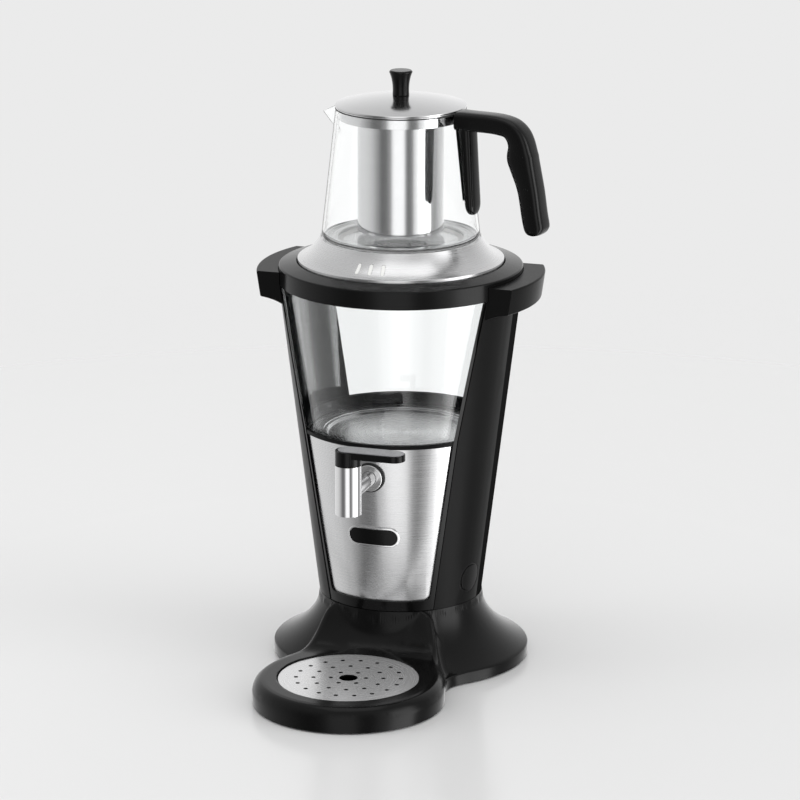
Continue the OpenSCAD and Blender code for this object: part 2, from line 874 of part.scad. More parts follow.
module lug(s) {
    edge = lug_edge_r;
    inner = 0.1;
    ring_side = [[ring_r + part_gap, ring_z - part_gap], [ring_r + part_gap, lug_top_z]];
    top = arc([lug_r - edge, lug_top_z - edge], edge, 90, 0, 4);
    face_r = lug_r - lug_face_h * body_slope;
    face = arc([face_r - edge, lug_face_z + edge], edge, 0, -60, 4);
    foot = [body_r(lug_foot_z) + inner, lug_foot_z];
    sweep = curve([face[len(face) - 1], [body_r(lug_face_z) + 6, lug_face_z - 1], foot], 8);
    neck = [body_r(ring_z - part_gap) + inner, ring_z - part_gap];
    color("#2a2a2a")
        intersection() {
            rotate_extrude()
                polygon(concat([neck], ring_side, top, face, [for (i = [1 : 8]) sweep[i]]));
            translate([s > 0 ? 0 : -far, -lug_half_w, 0])
                cube([far, 2 * lug_half_w, far]);
        }
}

module left_lug() {
    lug(-1);
}

module right_lug() {
    lug(1);
}

module front_frame() {
    color("#0f0f0f")
        difference() {
            intersection() {
                body_shell(shell_z0, column_top_z, frame_recess, shell_wall);
                window(part_gap, shell_z0, column_top_z);
            }
            window(frame_w, panel_z0, far, panel_corner_r);
        }
}

module front_panel() {
    color("#b9bbbd")
        difference() {
            intersection() {
                body_shell(panel_z0, panel_z1, panel_recess, panel_recess + panel_t);
                window(frame_w + part_gap / 2, panel_z0 + part_gap / 2, panel_z1, panel_corner_r);
            }
            front_bar(0, far, stem_r + part_gap, tap_z);
        }
}

module badge_rim() {
    color("#d4d5d6")
        difference() {
            intersection() {
                body_shell(shell_z0, panel_z1, panel_recess - badge_rim_t, panel_recess - eps);
                stadium_bar(badge_w, badge_h, badge_z);
            }
            stadium_bar(badge_w - 2 * badge_rim_w, badge_h - 2 * badge_rim_w, badge_z);
        }
}

module badge_plate() {
    inner = 2 * badge_rim_w + part_gap;
    color("#141414")
        intersection() {
            body_shell(shell_z0, panel_z1, panel_recess - badge_field_t, panel_recess - eps);
            stadium_bar(badge_w - inner, badge_h - inner, badge_z);
        }
}

module upper_ring() {
    glass_out = body_r(column_top_z) - glass_inset;
    groove_out = body_r(groove_z) - glass_inset + part_gap;
    groove_in = glass_out - tank_wall - part_gap;
    leg_in = groove_in - ring_leg_w;
    color("#2a2a2a")
        rotate_extrude()
            polygon([[groove_out, ring_z], [ring_r, ring_z], [ring_r, ring_edge_z - ring_bevel],
                     [ring_r - ring_bevel, ring_edge_z], [ring_inner_r, ring_top_z], [ring_inner_r, ledge_z],
                     [ledge_r, ledge_z], [ledge_r, ledge_z - ring_ledge_t], [leg_in, ledge_z - ring_ledge_t],
                     [leg_in, ring_z], [groove_in, ring_z], [groove_in, groove_z],
                     [groove_out, groove_z]]);
}

// Tank and heater
module tank_glass() {
    color("#dfe8ea", 0.35)
        body_shell(tank_z0, tank_z1, glass_inset, glass_inset + tank_wall);
}

module tank_seal() {
    outer = body_r(web_top_z) - glass_inset;
    color("#cfcfcf")
        difference() {
            translate([0, 0, web_top_z])
                cylinder(r = outer, h = tank_z0 - web_top_z);
            cylinder(r = outer - tank_wall + part_gap, h = far);
        }
}

module tank_band() {
    leg = band_outer_inset + band_leg_t;
    web_r = plate_edge_r - band_lap;
    color("#1a1a1a") {
        rotate_extrude()
            polygon([[web_r, web_z], [body_r(web_z) - band_outer_inset, web_z],
                     [body_r(band_top_z) - band_outer_inset, band_top_z],
                     [body_r(band_top_z) - leg, band_top_z],
                     [body_r(web_top_z) - leg, web_top_z], [web_r, web_top_z]]);
        intersection() {
            body_shell(band_top_z - band_show_h, band_top_z, band_recess, band_outer_inset + band_leg_t / 2);
            window(frame_w + part_gap / 2, shell_z0, column_top_z);
        }
    }
}

module heater_plate() {
    step_r = plate_floor_r + plate_step;
    under = plate_t * tan(22.5);
    color("#c4c6c8")
        difference() {
            rotate_extrude()
                polygon([[0, plate_floor_z], [plate_floor_r + under, plate_floor_z],
                         [step_r + under, flange_z],
                         [plate_edge_r, flange_z], [plate_edge_r, flange_top_z], [step_r, flange_top_z],
                         [plate_floor_r, plate_floor_z + plate_t], [0, plate_floor_z + plate_t]]);
            translate([0, -elbow_y, 0])
                cylinder(r = stem_bore_r, h = far);
        }
}

module heating_element() {
    z = plate_floor_z - element_tube_r - eps;
    color("#8d8f91")
        rotate([0, 0, element_end])
            rotate_extrude(angle = 360 - 2 * element_end)
                translate([element_ring_r, z])
                    circle(r = element_tube_r, $fn = 32);
}

// Place of the pin at the element's first end, just clear of that end's face
function pin_place() = let (gap = pin_r + face_gap)
    [element_ring_r * cos(element_end) + gap * sin(element_end),
     element_ring_r * sin(element_end) - gap * cos(element_end)];

module element_terminals() {
    pin = pin_place();
    color("#c8a24a")
        for (s = [-1, 1])
            translate([pin[0], s * pin[1], plate_floor_z - element_tube_r - pin_len])
                cylinder(r = pin_r, h = pin_len, $fn = 32);
}

module thermostat() {
    color("#d8d2c0")
        translate([0, 0, plate_floor_z - thermostat_h - eps])
            cylinder(r = thermostat_r, h = thermostat_h);
}

module thermal_fuse() {
    color("#b0b3b5")
        translate([-fuse_len / 2, thermostat_r + fuse_r + 2, plate_floor_z - fuse_r - eps])
            rotate([0, 90, 0])
                cylinder(r = fuse_r, h = fuse_len, $fn = 32);
}

module outlet_elbow() {
    color("#d9d9d9")
        difference() {
            union() {
                translate([0, -elbow_y, tap_z])
                    cylinder(r = elbow_r, h = plate_floor_z - tap_z - eps);
                translate([0, -elbow_y, tap_z])
                    sphere(r = elbow_r);
                front_bar(elbow_y, stem_start - eps, elbow_r, tap_z);
            }
            translate([0, -elbow_y, tap_z])
                cylinder(r = stem_bore_r, h = far);
            front_bar(elbow_y, far, stem_bore_r, tap_z);
        }
}

module control_board() {
    color("#2f6b3c")
        translate([-board_w / 2, board_y - board_d / 2, board_z])
            cube([board_w, board_d, board_t]);
}

module board_posts() {
    half_x = board_w / 2 - board_inset;
    half_y = board_d / 2 - board_inset;
    color("#d0d0d0")
        for (x = [-half_x, half_x], y = [-half_y, half_y])
            translate([x, board_y + y, plate_top_z])
                cylinder(r = board_post_r, h = board_post_h, $fn = 32);
}

module board_parts() {
    top = board_z + board_t;
    relay_x = part_margin - board_w / 2;
    color("#26364f") {
        translate([relay_x, board_y - relay_d / 2, top])
            cube([relay_w, relay_d, relay_h]);
        translate([relay_x + relay_w + part_margin + capacitor_r, board_y + part_margin, top])
            cylinder(r = capacitor_r, h = capacitor_h, $fn = 32);
        translate([board_w / 2 - part_margin - header_w, board_y - board_d / 2 + part_margin, top])
            cube([header_w, header_d, header_h]);
    }
}

module terminal_block() {
    color("#e4e0d4")
        difference() {
            translate([-block_w / 2, block_y - block_d / 2, plate_top_z])
                cube([block_w, block_d, block_h]);
            for (x = [-1, 0, 1])
                translate([x * block_pitch, block_y, plate_top_z + block_h - block_bore_h])
                    cylinder(r = block_bore_r, h = far, $fn = 32);
        }
}

module heater_leads() {
    block_z = plate_top_z + block_h;
    pin_z = plate_floor_z - element_tube_r - pin_len;
    pin = pin_place();
    bend_z = seam_z + 16;
    color("#8a2f24")
        for (s = [-1, 1]) {
            foot = [s * block_pitch, block_y];
            head = [pin[0], s * pin[1]];
            lead_tube(concat([[foot[0], foot[1], block_z - block_bore_h + face_gap]],
                             curve([[foot[0], foot[1], block_z], [foot[0], foot[1], bend_z],
                                    [head[0], head[1], bend_z],
                                    [head[0], head[1], 2 * bend_z - block_z]], 10),
                             [[head[0], head[1], pin_z - eps]]), lead_r);
        }
}

// Tube of eight sides along a line of points that climbs all the way
module lead_tube(points, r) {
    loft([for (p = points) [for (i = [0 : 7]) [p[0] + r * cos(45 * i), p[1] + r * sin(45 * i), p[2]]]]);
}

// Tap
module tap_gasket() {
    color("#101010")
        difference() {
            front_bar(panel_face_r - 3, gasket_face, rosette_r + gasket_rim, tap_z);
            body_core(shell_z0, panel_z1, panel_recess - eps);
            front_bar(0, far, stem_r + eps, tap_z);
        }
}

module tap_rosette() {
    color("#c6c8ca")
        difference() {
            front_bar(gasket_face, rosette_face, rosette_r, tap_z);
            front_bar(0, far, stem_r + eps, tap_z);
        }
}

module tap_stem() {
    color("#b4b6b8")
        difference() {
            front_bar(stem_start, stem_end, stem_r, tap_z);
            front_bar(0, far, stem_bore_r, tap_z);
        }
}

module tap_nut() {
    back = panel_face_r - panel_t - 2.2;
    color("#c9b26a")
        difference() {
            front_bar(back - nut_t, back, stem_r + 5, tap_z, 6);
            front_bar(0, far, stem_r + eps, tap_z);
        }
}

module at_tap() {
    translate([0, -tap_reach, 0])
        children();
}

module tap_spout() {
    color("#cfd0d2")
        difference() {
            at_tap()
                translate([0, 0, spout_z])
                    cylinder(r = spout_r, h = spout_top_z - spout_z);
            at_tap() {
                translate([0, 0, spout_z - eps])
                    cylinder(r = outlet_r, h = far);
                translate([0, 0, spout_z + spout_foot_h])
                    cylinder(r = valve_bore_r, h = far);
            }
            front_bar(0, tap_reach, stem_r + eps, tap_z);
        }
}

module valve_plug() {
    z0 = spout_z + spout_foot_h + 2 * face_gap;
    color("#b59a5b")
        at_tap()
            difference() {
                union() {
                    translate([0, 0, z0])
                        cylinder(r = plug_r, h = hub_z - face_gap - z0);
                    translate([0, 0, spout_top_z])
                        cylinder(r = drive_r, h = lever_gap + drive_h);
                }
                translate([0, 0, z0 - eps])
                    cylinder(r = outlet_r - part_gap, h = tap_z + stem_bore_r - z0);
                translate([0, 0, tap_z])
                    rotate([0, -90, 0])
                        cylinder(r = stem_bore_r, h = far);
            }
}

module tap_lever() {
    color("#1c1c1c")
        at_tap()
            difference() {
                union() {
                    translate([0, 0, hub_z])
                        cylinder(r = spout_r, h = lever_hub_h);
                    translate([0, 0, lever_top_z - lever_t])
                        tongue_plate(lever_len, lever_w, lever_t);
                }
                translate([0, 0, hub_z - eps])
                    cylinder(r = drive_r + eps, h = drive_h + 2 * face_gap);
            }
}

module lever_inlay() {
    color("#9b9d9f")
        at_tap()
            translate([0, 0, lever_top_z]) {
                cylinder(d = lever_w - 2 * inlay_edge, h = inlay_t);
                tongue_plate(lever_len - inlay_edge, lever_w - 2 * inlay_edge, inlay_t);
            }
}

// Power switch
module power_button() {
    color("#1f1f1f")
        difference() {
            intersection() {
                button_bar(button_face_r - button_h, button_face_r + 5, button_r);
                body_core(shell_z0, column_top_z, -button_proud);
            }
            button_bar(0, button_face_r - button_front_t, button_r - button_wall);
        }
}

module button_bezel() {
    back = button_face_r - bezel_depth;
    color("#181818")
        difference() {
            intersection() {
                button_bar(back, button_face_r + 5, bezel_out_r);
                body_core(shell_z0, column_top_z, 0.2);
            }
            button_bar(back + bezel_back_t, far, bezel_in_r);
            button_bar(0, far, plunger_r + part_gap);
        }
}

module power_switch() {
    back = button_face_r - bezel_depth - eps;
    tip = button_face_r - button_front_t - button_travel - 2 * face_gap;
    color("#e8e6df") {
        rotate([0, 0, button_angle - 90])
            translate([back - switch_h, -switch_size / 2, button_z - switch_size / 2])
                cube([switch_h, switch_size, switch_size]);
        button_bar(back - 1, tip, plunger_r);
    }
}

// Tank lid
dome_curve = curve([[dome_r, dome_z + 1.2], [dome_r - (dome_r - dome_top_r) * 0.61, dome_z + dome_h * 0.27],
                    [dome_top_r, dome_top_z]], 14);

module lid_dome() {
    steps = len(dome_curve) - 1;
    foot_z = skirt_z + skirt_h + face_gap;
    rim_r = dome_top_r - dome_rim_w;
    sheet = dome_t * 0.8;
    foot = [[dome_r - dome_t, foot_z], [dome_r, foot_z]];
    seat = [[rim_r, dome_top_z], [rim_r, seat_z], [seat_hole_r, seat_z], [seat_hole_r, lip_z]];
    spacer = [[warm_flange_r - spacer_w, lip_z], [warm_flange_r - spacer_w, lip_z - spacer_h],
              [warm_flange_r, lip_z - spacer_h], [warm_flange_r, lip_z], [dome_top_r - sheet, lip_z]];
    under = [for (i = [steps : -1 : 0]) let (p = dome_curve[i] - [sheet, sheet]) if (p[1] < lip_z) p];
    color("#b3b5b7")
        difference() {
            rotate_extrude()
                polygon(concat(foot, dome_curve, seat, spacer, under));
            for (i = [-1 : 1])
                rotate([0, 0, vent_angle - 90 + i * vent_pitch])
                    translate([vent_r, 0, dome_z])
                        linear_extrude(dome_h)
                            stadium(vent_len, vent_w);
        }
}

module warming_plate() {
    color("#a9abad")
        rotate_extrude()
            polygon([[0, warm_z - warm_t], [warm_r - warm_t, warm_z - warm_t],
                     [warm_r - warm_t, warm_flange_z - warm_t], [warm_flange_r, warm_flange_z - warm_t],
                     [warm_flange_r, warm_flange_z], [warm_r, warm_flange_z], [warm_r, warm_z], [0, warm_z]]);
}

module vent_strip() {
    color("#f2f2f0")
        rotate([0, 0, vent_angle - 90 - 1.7 * vent_pitch])
            rotate_extrude(angle = 3.4 * vent_pitch)
                polygon([for (i = [2 : 9]) dome_curve[i] - [dome_t, dome_t], each [for (i = [9 : -1 : 2])
                    dome_curve[i] - [dome_t + 1, dome_t + 1]]]);
}

module lid_skirt() {
    color("#202020")
        difference() {
            translate([0, 0, skirt_z])
                cylinder(r = skirt_r, h = skirt_h);
            cylinder(r = skirt_r - skirt_w, h = far);
        }
}

module lid_seal() {
    outer = ring_inner_r - 2;
    color("#d7d7d2")
        difference() {
            translate([0, 0, seal_z])
                cylinder(r = outer, h = seal_t);
            cylinder(r = outer - 4, h = far);
        }
}

// Teapot
// Hull of the pouring lip, from balls at its corners and as far again above them
module lip_hull(r, above) {
    tip = [-(pot_rim_r + lip_reach), 0, pot_rim_z - lip_drop];
    root = [-pot_r(pot_rim_z - lip_depth) + pot_wall / 2 + 0.6, 0, pot_rim_z - lip_depth];
    side_x = -sqrt(pow(pot_rim_r - pot_wall / 2, 2) - pow(lip_half_w, 2));
    side_z = pot_rim_z - pot_wall / 2;
    corners = [tip, root, [side_x, lip_half_w, side_z], [side_x, -lip_half_w, side_z]];
    hull()
        for (corner = corners, lift = [0, above])
            translate(corner + [0, 0, lift])
                sphere(r = r, $fn = 16);
}

module teapot_glass() {
    c = pot_corner_r;
    outer = concat([[0, pot_z], [pot_foot_r - c, pot_z]], arc([pot_foot_r - c, pot_z + c], c, -90, 0, 6),
                   [[pot_rim_r, pot_rim_z]]);
    ci = c - pot_wall + 0.8;
    inner_foot = pot_foot_r - pot_wall;
    inner = concat([[0, pot_floor_z], [inner_foot - ci, pot_floor_z]],
                   arc([inner_foot - ci, pot_floor_z + ci], ci, -90, 0, 6),
                   [[pot_rim_r - pot_wall, pot_rim_z + eps], [0, pot_rim_z + eps]]);
    color("#e4edef", 0.3)
        rotate([0, 0, -pot_turn])
            difference() {
                union() {
                    rotate_extrude()
                        polygon(concat(outer, [[0, pot_rim_z]]));
                    lip_hull(pot_wall / 2, 0);
                }
                rotate_extrude()
                    polygon(inner);
                translate([pot_wall, 0, pot_wall])
                    lip_hull(pot_wall / 4, lip_drop);
            }
}

// Ring of a handle: a rounded oblong across the path at a point, with half thickness h and half width w
function handle_ring(p, angle, h, w) = [for (i = [0 : 19]) let (a = 18 * i, c = cos(a), s = sin(a),
    u = h * sign(c) * pow(abs(c), 0.7), v = w * sign(s) * pow(abs(s), 0.7))
    [p[0] + u * sin(angle), v, p[1] - u * cos(angle)]];

function handle_rings(path) = [for (i = [0 : len(path) - 1]) let (
    a = path[max(i - 1, 0)], b = path[min(i + 1, len(path) - 1)],
    angle = atan2(b[1] - a[1], b[0] - a[0]))
    handle_ring(path[i], angle, path[i][2], path[i][3])];

module pot_handle() {
    t = arm_t / 2;
    w = handle_w / 2;
    gx = handle_reach;
    arm = [[pot_rim_r - 4, arm_z, t - 0.4, yoke_w / 2], [pot_rim_r + 4, arm_z, t, yoke_w / 2 - 1.5],
           [pot_rim_r + 13, arm_z, t, w + 1], [gx - 40.5, arm_z, t, w],
           [gx - 30.5, arm_z - 0.7, t, w], [gx - 22.5, arm_z - 2.7, t, w],
           [gx - 17, arm_z - 7.7, t + 0.8, w], [gx - 14, arm_z - 14.8, t + 1.7, w],
           [gx - 13.1, arm_z - 23.8, t + 3.7, w], [gx - 11.2, arm_z - 30.8, t + 3.2, w],
           [gx - 7.3, arm_z - 43.3, t + 1.8, w], [gx - 4.9, arm_z - 53.3, t + 1.3, w],
           [gx - 2.3, arm_z - 69.3, t + 1.1, w],
           [gx - 0.4, grip_z + 7.5, t + 0.9, w], [gx + 0.5, grip_z + 3, t - 0.6, w - 1.2],
           [gx + 1.1, grip_z, t - 3.6, w - 5]];
    top_z = arm_z - 4;
    narrow_z = tongue_z + 10;
    widen = (tongue_root_t - tongue_t) / (top_z - narrow_z);
    function tongue_half(z) = (tongue_t + widen * (z - narrow_z)) / 2;
    function tongue_ring(z, h, w) = [pot_r(z) + bond_t + tongue_half(z), z, h, w];
    tongue = concat([for (i = [0 : 4]) let (z = top_z + (narrow_z - top_z) * i / 4)
                        tongue_ring(z, tongue_half(z), tongue_w / 2)],
                    [tongue_ring(tongue_z + 4, tongue_t / 2 - 0.7, tongue_w / 2 - 2),
                     tongue_ring(tongue_z, tongue_t / 2 - 2.5, tongue_w / 2 - 5.5)]);
    lid_room_r = pot_lid_r + lid_room;
    lid_room_z = pot_rim_z - lid_room;
    color("#171717")
        rotate([0, 0, -pot_turn])
            difference() {
                union() {
                    loft(handle_rings(arm));
                    loft(handle_rings(tongue));
                }
                rotate_extrude()
                    polygon([[0, pot_z], [pot_r(pot_z) + bond_t, pot_z],
                             [pot_r(lid_room_z) + bond_t, lid_room_z], [lid_room_r, lid_room_z],
                             [lid_room_r, far], [0, far]]);
            }
}

module handle_bond() {
    z0 = tongue_z + 12;
    z1 = arm_z + arm_t / 2 - 3;
    color("#3c3c3c")
        rotate([0, 0, -pot_turn])
            intersection() {
                rotate_extrude()
                    polygon([[pot_r(z0) + eps, z0], [pot_r(z0) + bond_t - eps, z0],
                             [pot_r(z1) + bond_t - eps, z1], [pot_r(z1) + eps, z1]]);
                translate([0, -tongue_w / 2 + 2, 0])
                    cube([far, tongue_w - 4, far]);
            }
}

// Infuser and pot lid
module infuser_basket() {
    t = basket_t;
    flange_r = pot_rim_r + part_gap;
    flange_z = flange_rest_z + t;
    color("#c9cbcd")
        rotate_extrude()
            polygon([[basket_r - t, basket_z], [basket_r, basket_z], [basket_r, collar_z],
                     [collar_r, collar_z], [collar_r, flange_rest_z], [flange_r, flange_rest_z],
                     [flange_r, flange_z], [collar_r - t, flange_z], [collar_r - t, collar_z + t],
                     [basket_r - t, collar_z + t]]);
}

module infuser_strainer() {
    rows = floor((basket_r - 4) / strain_pitch);
    color("#9fa1a3")
        difference() {
            translate([0, 0, basket_z + 0.4])
                cylinder(r = basket_r - basket_t - eps, h = basket_t);
            for (row = [1 : rows], i = [0 : 6 * row - 1])
                rotate([0, 0, 360 * i / (6 * row)])
                    translate([row * strain_pitch, 0, basket_z])
                        cylinder(r = strain_r, h = 4, $fn = 16);
        }
}

module pot_lid() {
    edge_z = pot_lid_z + pot_lid_edge;
    plug_in_r = lid_plug_r - basket_t;
    plug_z = pot_lid_z - plug_h;
    top = curve([[pot_lid_r, edge_z], [lid_bend_r, edge_z + pot_lid_rise], [0, edge_z + pot_lid_rise]], 14);
    under = [[0, lid_under_z(0)], [lid_bend_r, lid_under_z(lid_bend_r)], [plug_in_r, pot_lid_z + face_gap]];
    plug = [[plug_in_r, plug_z], [lid_plug_r, plug_z], [lid_plug_r, pot_lid_z], [pot_lid_r, pot_lid_z]];
    color("#c9cbcd")
        difference() {
            rotate_extrude()
                polygon(concat(under, plug, top));
            cylinder(r = screw_r + face_gap, h = far);
        }
}

module lid_knob() {
    side = curve([[knob_waist_r + 0.2, knob_z], [knob_waist_r - 0.6, knob_z + knob_h * 0.55],
                  [knob_top_r, knob_z + knob_h - 1.6]], 10);
    color("#121212")
        difference() {
            rotate_extrude()
                polygon(concat([[0, knob_z]], side,
                               [[knob_top_r, knob_z + knob_h - 1], [knob_top_r - 1, knob_z + knob_h],
                                [0, knob_z + knob_h]]));
            cylinder(r = screw_r, h = knob_z + knob_bore_h);
        }
}

module knob_screw() {
    head_z = lid_under_z(knob_head_r) - face_gap - knob_head_h;
    color("silver") {
        translate([0, 0, head_z])
            cylinder(r = knob_head_r, h = knob_head_h);
        translate([0, 0, head_z])
            cylinder(r = screw_r, h = knob_z + knob_bore_h - head_z);
    }
}

base_shell();
base_plate();
base_screws();
rubber_feet();
cord_gland();
drip_cup();
drip_grille();
left_column();
right_column();
rear_housing();
left_lug();
right_lug();
front_frame();
front_panel();
badge_rim();
badge_plate();
upper_ring();
tank_glass();
tank_seal();
tank_band();
heater_plate();
heating_element();
element_terminals();
thermostat();
thermal_fuse();
outlet_elbow();
control_board();
board_posts();
board_parts();
terminal_block();
heater_leads();
tap_gasket();
tap_rosette();
tap_stem();
tap_nut();
tap_spout();
valve_plug();
tap_lever();
lever_inlay();
power_button();
button_bezel();
power_switch();
lid_dome();
warming_plate();
vent_strip();
lid_skirt();
lid_seal();
teapot_glass();
pot_handle();
handle_bond();
infuser_basket();
infuser_strainer();
pot_lid();
lid_knob();
knob_screw();
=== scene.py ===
"""Electric samovar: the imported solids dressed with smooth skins, procedural materials and studio light."""
import json
import math

import bmesh
import bpy
import numpy as np
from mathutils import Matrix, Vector
from mathutils.bvhtree import BVHTree
from mathutils.geometry import delaunay_2d_cdt


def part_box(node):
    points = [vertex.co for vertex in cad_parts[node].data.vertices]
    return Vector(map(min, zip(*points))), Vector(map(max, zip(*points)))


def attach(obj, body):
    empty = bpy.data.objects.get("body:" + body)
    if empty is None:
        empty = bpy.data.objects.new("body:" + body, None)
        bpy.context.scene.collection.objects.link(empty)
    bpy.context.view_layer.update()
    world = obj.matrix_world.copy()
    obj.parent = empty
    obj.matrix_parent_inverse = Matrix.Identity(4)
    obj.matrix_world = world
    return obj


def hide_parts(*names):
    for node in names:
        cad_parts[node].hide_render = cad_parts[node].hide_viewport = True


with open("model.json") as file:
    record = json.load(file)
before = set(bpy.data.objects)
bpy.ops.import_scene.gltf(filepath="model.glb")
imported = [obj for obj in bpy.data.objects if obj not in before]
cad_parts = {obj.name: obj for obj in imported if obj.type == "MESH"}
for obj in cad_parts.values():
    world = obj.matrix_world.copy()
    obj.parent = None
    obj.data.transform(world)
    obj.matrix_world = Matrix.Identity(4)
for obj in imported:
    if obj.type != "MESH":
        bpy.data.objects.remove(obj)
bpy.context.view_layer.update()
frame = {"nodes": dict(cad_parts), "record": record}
nodes = frame["nodes"]
MM = 0.001

# Sizes of the object in millimetres
SEAM_Z, SEAM_R = 54.0, 66.6
BASE_X, BASE_Y, EDGE_Z, BASE_LIFT = 104.8, 99.4, 10.0, 1.2
TRAY_Y, TRAY_R, TRAY_RIM_R, TRAY_Z = -134.5, 76.4, 68.5, 21.0
RECESS_R, LEDGE_Z, WELL_R, WELL_Z = 56.3, 18.3, 53.0, 3.25
CREST_X, CREST_Y = 36.3, 55.9
POT_Z, POT_RIM_Z, POT_FOOT_R, POT_RIM_R = 348.5, 454.5, 63.4, 51.9
POT_WALL, POT_FLOOR, POT_CORNER = 2.2, 3.0, 5.0
POT_TURN = math.radians(-10.5)
LIP_REACH, LIP_DEPTH, LIP_DROP, LIP_HALF = 20.0, 27.0, 10.0, math.radians(15.0)
ARM_Z, GRIP_Z, TONGUE_Z, HANDLE_REACH = 449.3, 363.5, 374.0, 121.7
HANDLE_T, HANDLE_W, HANDLE_GAP = 7.6, 10.0, 0.4
LID_ROOM_R, LID_ROOM_Z = 53.0, 453.9
SUNK_R, SUNK_DEPTH, BEAD_R = 50.0, 1.6, 64.0
VENT_R, VENT_LEN, VENT_W, VENT_T = 73.95, 7.7, 2.9, 0.8
VENT_ANGLE, VENT_PITCH = math.radians(-91), math.radians(8)


# Mesh helpers
LATHE_SIDES = 144
JOIN_GAP, FLAT_ANGLE = 2e-6, math.radians(0.8)
EDGE_ANGLE, EDGE_STEPS, FLATNESS = math.radians(32), 2, 100


def link(name, mesh, body, slot, *replaced):
    piece = bpy.data.objects.new(name, mesh)
    bpy.context.scene.collection.objects.link(piece)
    if replaced:
        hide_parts(*replaced)
    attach(piece, body)
    return piece


def shade(mesh, angle):
    """Smooth faces, with edges sharper than the angle kept sharp."""
    mesh.polygons.foreach_set("use_smooth", [True] * len(mesh.polygons))
    mesh.set_sharp_from_angle(angle=math.radians(angle))
    mesh.update()


def mesh_from(name, points, faces, angle=40):
    """Mesh from points in millimetres, with its faces turned outwards."""
    mesh = bpy.data.meshes.new(name)
    mesh.from_pydata([tuple(c * MM for c in p) for p in points], [], faces)
    mesh.validate()
    bm = bmesh.new()
    bm.from_mesh(mesh)
    bmesh.ops.remove_doubles(bm, verts=bm.verts, dist=1e-7)
    bmesh.ops.recalc_face_normals(bm, faces=bm.faces)
    bm.to_mesh(mesh)
    bm.free()
    shade(mesh, angle)
    return mesh


def lathe(name, profile, angle=35):
    """Closed profile of radius and height turned about the body's axis."""
    points, faces = [], []
    count = len(profile)
    for s in range(LATHE_SIDES):
        a = 2 * math.pi * s / LATHE_SIDES
        points += [(r * math.cos(a), r * math.sin(a), z) for r, z in profile]
    for s in range(LATHE_SIDES):
        t = (s + 1) % LATHE_SIDES
        for i in range(count):
            j = (i + 1) % count
            faces.append((s * count + i, t * count + i, t * count + j, s * count + j))
    return mesh_from(name, points, faces, angle)


def turn(points, angle):
    """Points turned about the body's axis."""
    c, s = math.cos(angle), math.sin(angle)
    return [(x * c - y * s, x * s + y * c, z) for x, y, z in points]


def bezier(points, steps):
    """Points along a curve with the given control points."""
    out = []
    for k in range(steps + 1):
        t = k / steps
        level = [Vector(p) for p in points]
        while len(level) > 1:
            level = [a.lerp(b, t) for a, b in zip(level, level[1:])]
        out.append(tuple(level[0]))
    return out


def dress(node, body, slot, width):
    """Copy of a solid with its sharp edges rounded, in place of the solid."""
    mesh = nodes[node].data.copy()
    mesh.name = node + "_skin"
    mesh.materials.clear()
    bm = bmesh.new()
    bm.from_mesh(mesh)
    bmesh.ops.remove_doubles(bm, verts=bm.verts, dist=JOIN_GAP)
    bmesh.ops.dissolve_limit(bm, angle_limit=FLAT_ANGLE, verts=bm.verts, edges=bm.edges)
    bm.to_mesh(mesh)
    bm.free()
    mesh.polygons.foreach_set("use_smooth", [True] * len(mesh.polygons))
    piece = link(node + "_skin", mesh, body, slot, node)
    bevel = piece.modifiers.new("edges", "BEVEL")
    bevel.width = width * MM
    bevel.segments = EDGE_STEPS
    bevel.limit_method = "ANGLE"
    bevel.angle_limit = EDGE_ANGLE
    normals = piece.modifiers.new("normals", "WEIGHTED_NORMAL")
    normals.weight = FLATNESS
    bpy.context.view_layer.update()
    rounded = piece.evaluated_get(bpy.context.evaluated_depsgraph_get())
    done = bpy.data.meshes.new_from_object(rounded)
    piece.modifiers.clear()
    piece.data = done


# Materials
MATERIALS = {}
MARK_DRIFT = 0.0012
GRAIN_DEPTH, MARK_DEPTH = 0.00012, 0.00003
TINT_FROM, OUTLINE_FROM, OUTLINE_TO = 0.72, 0.84, 0.97


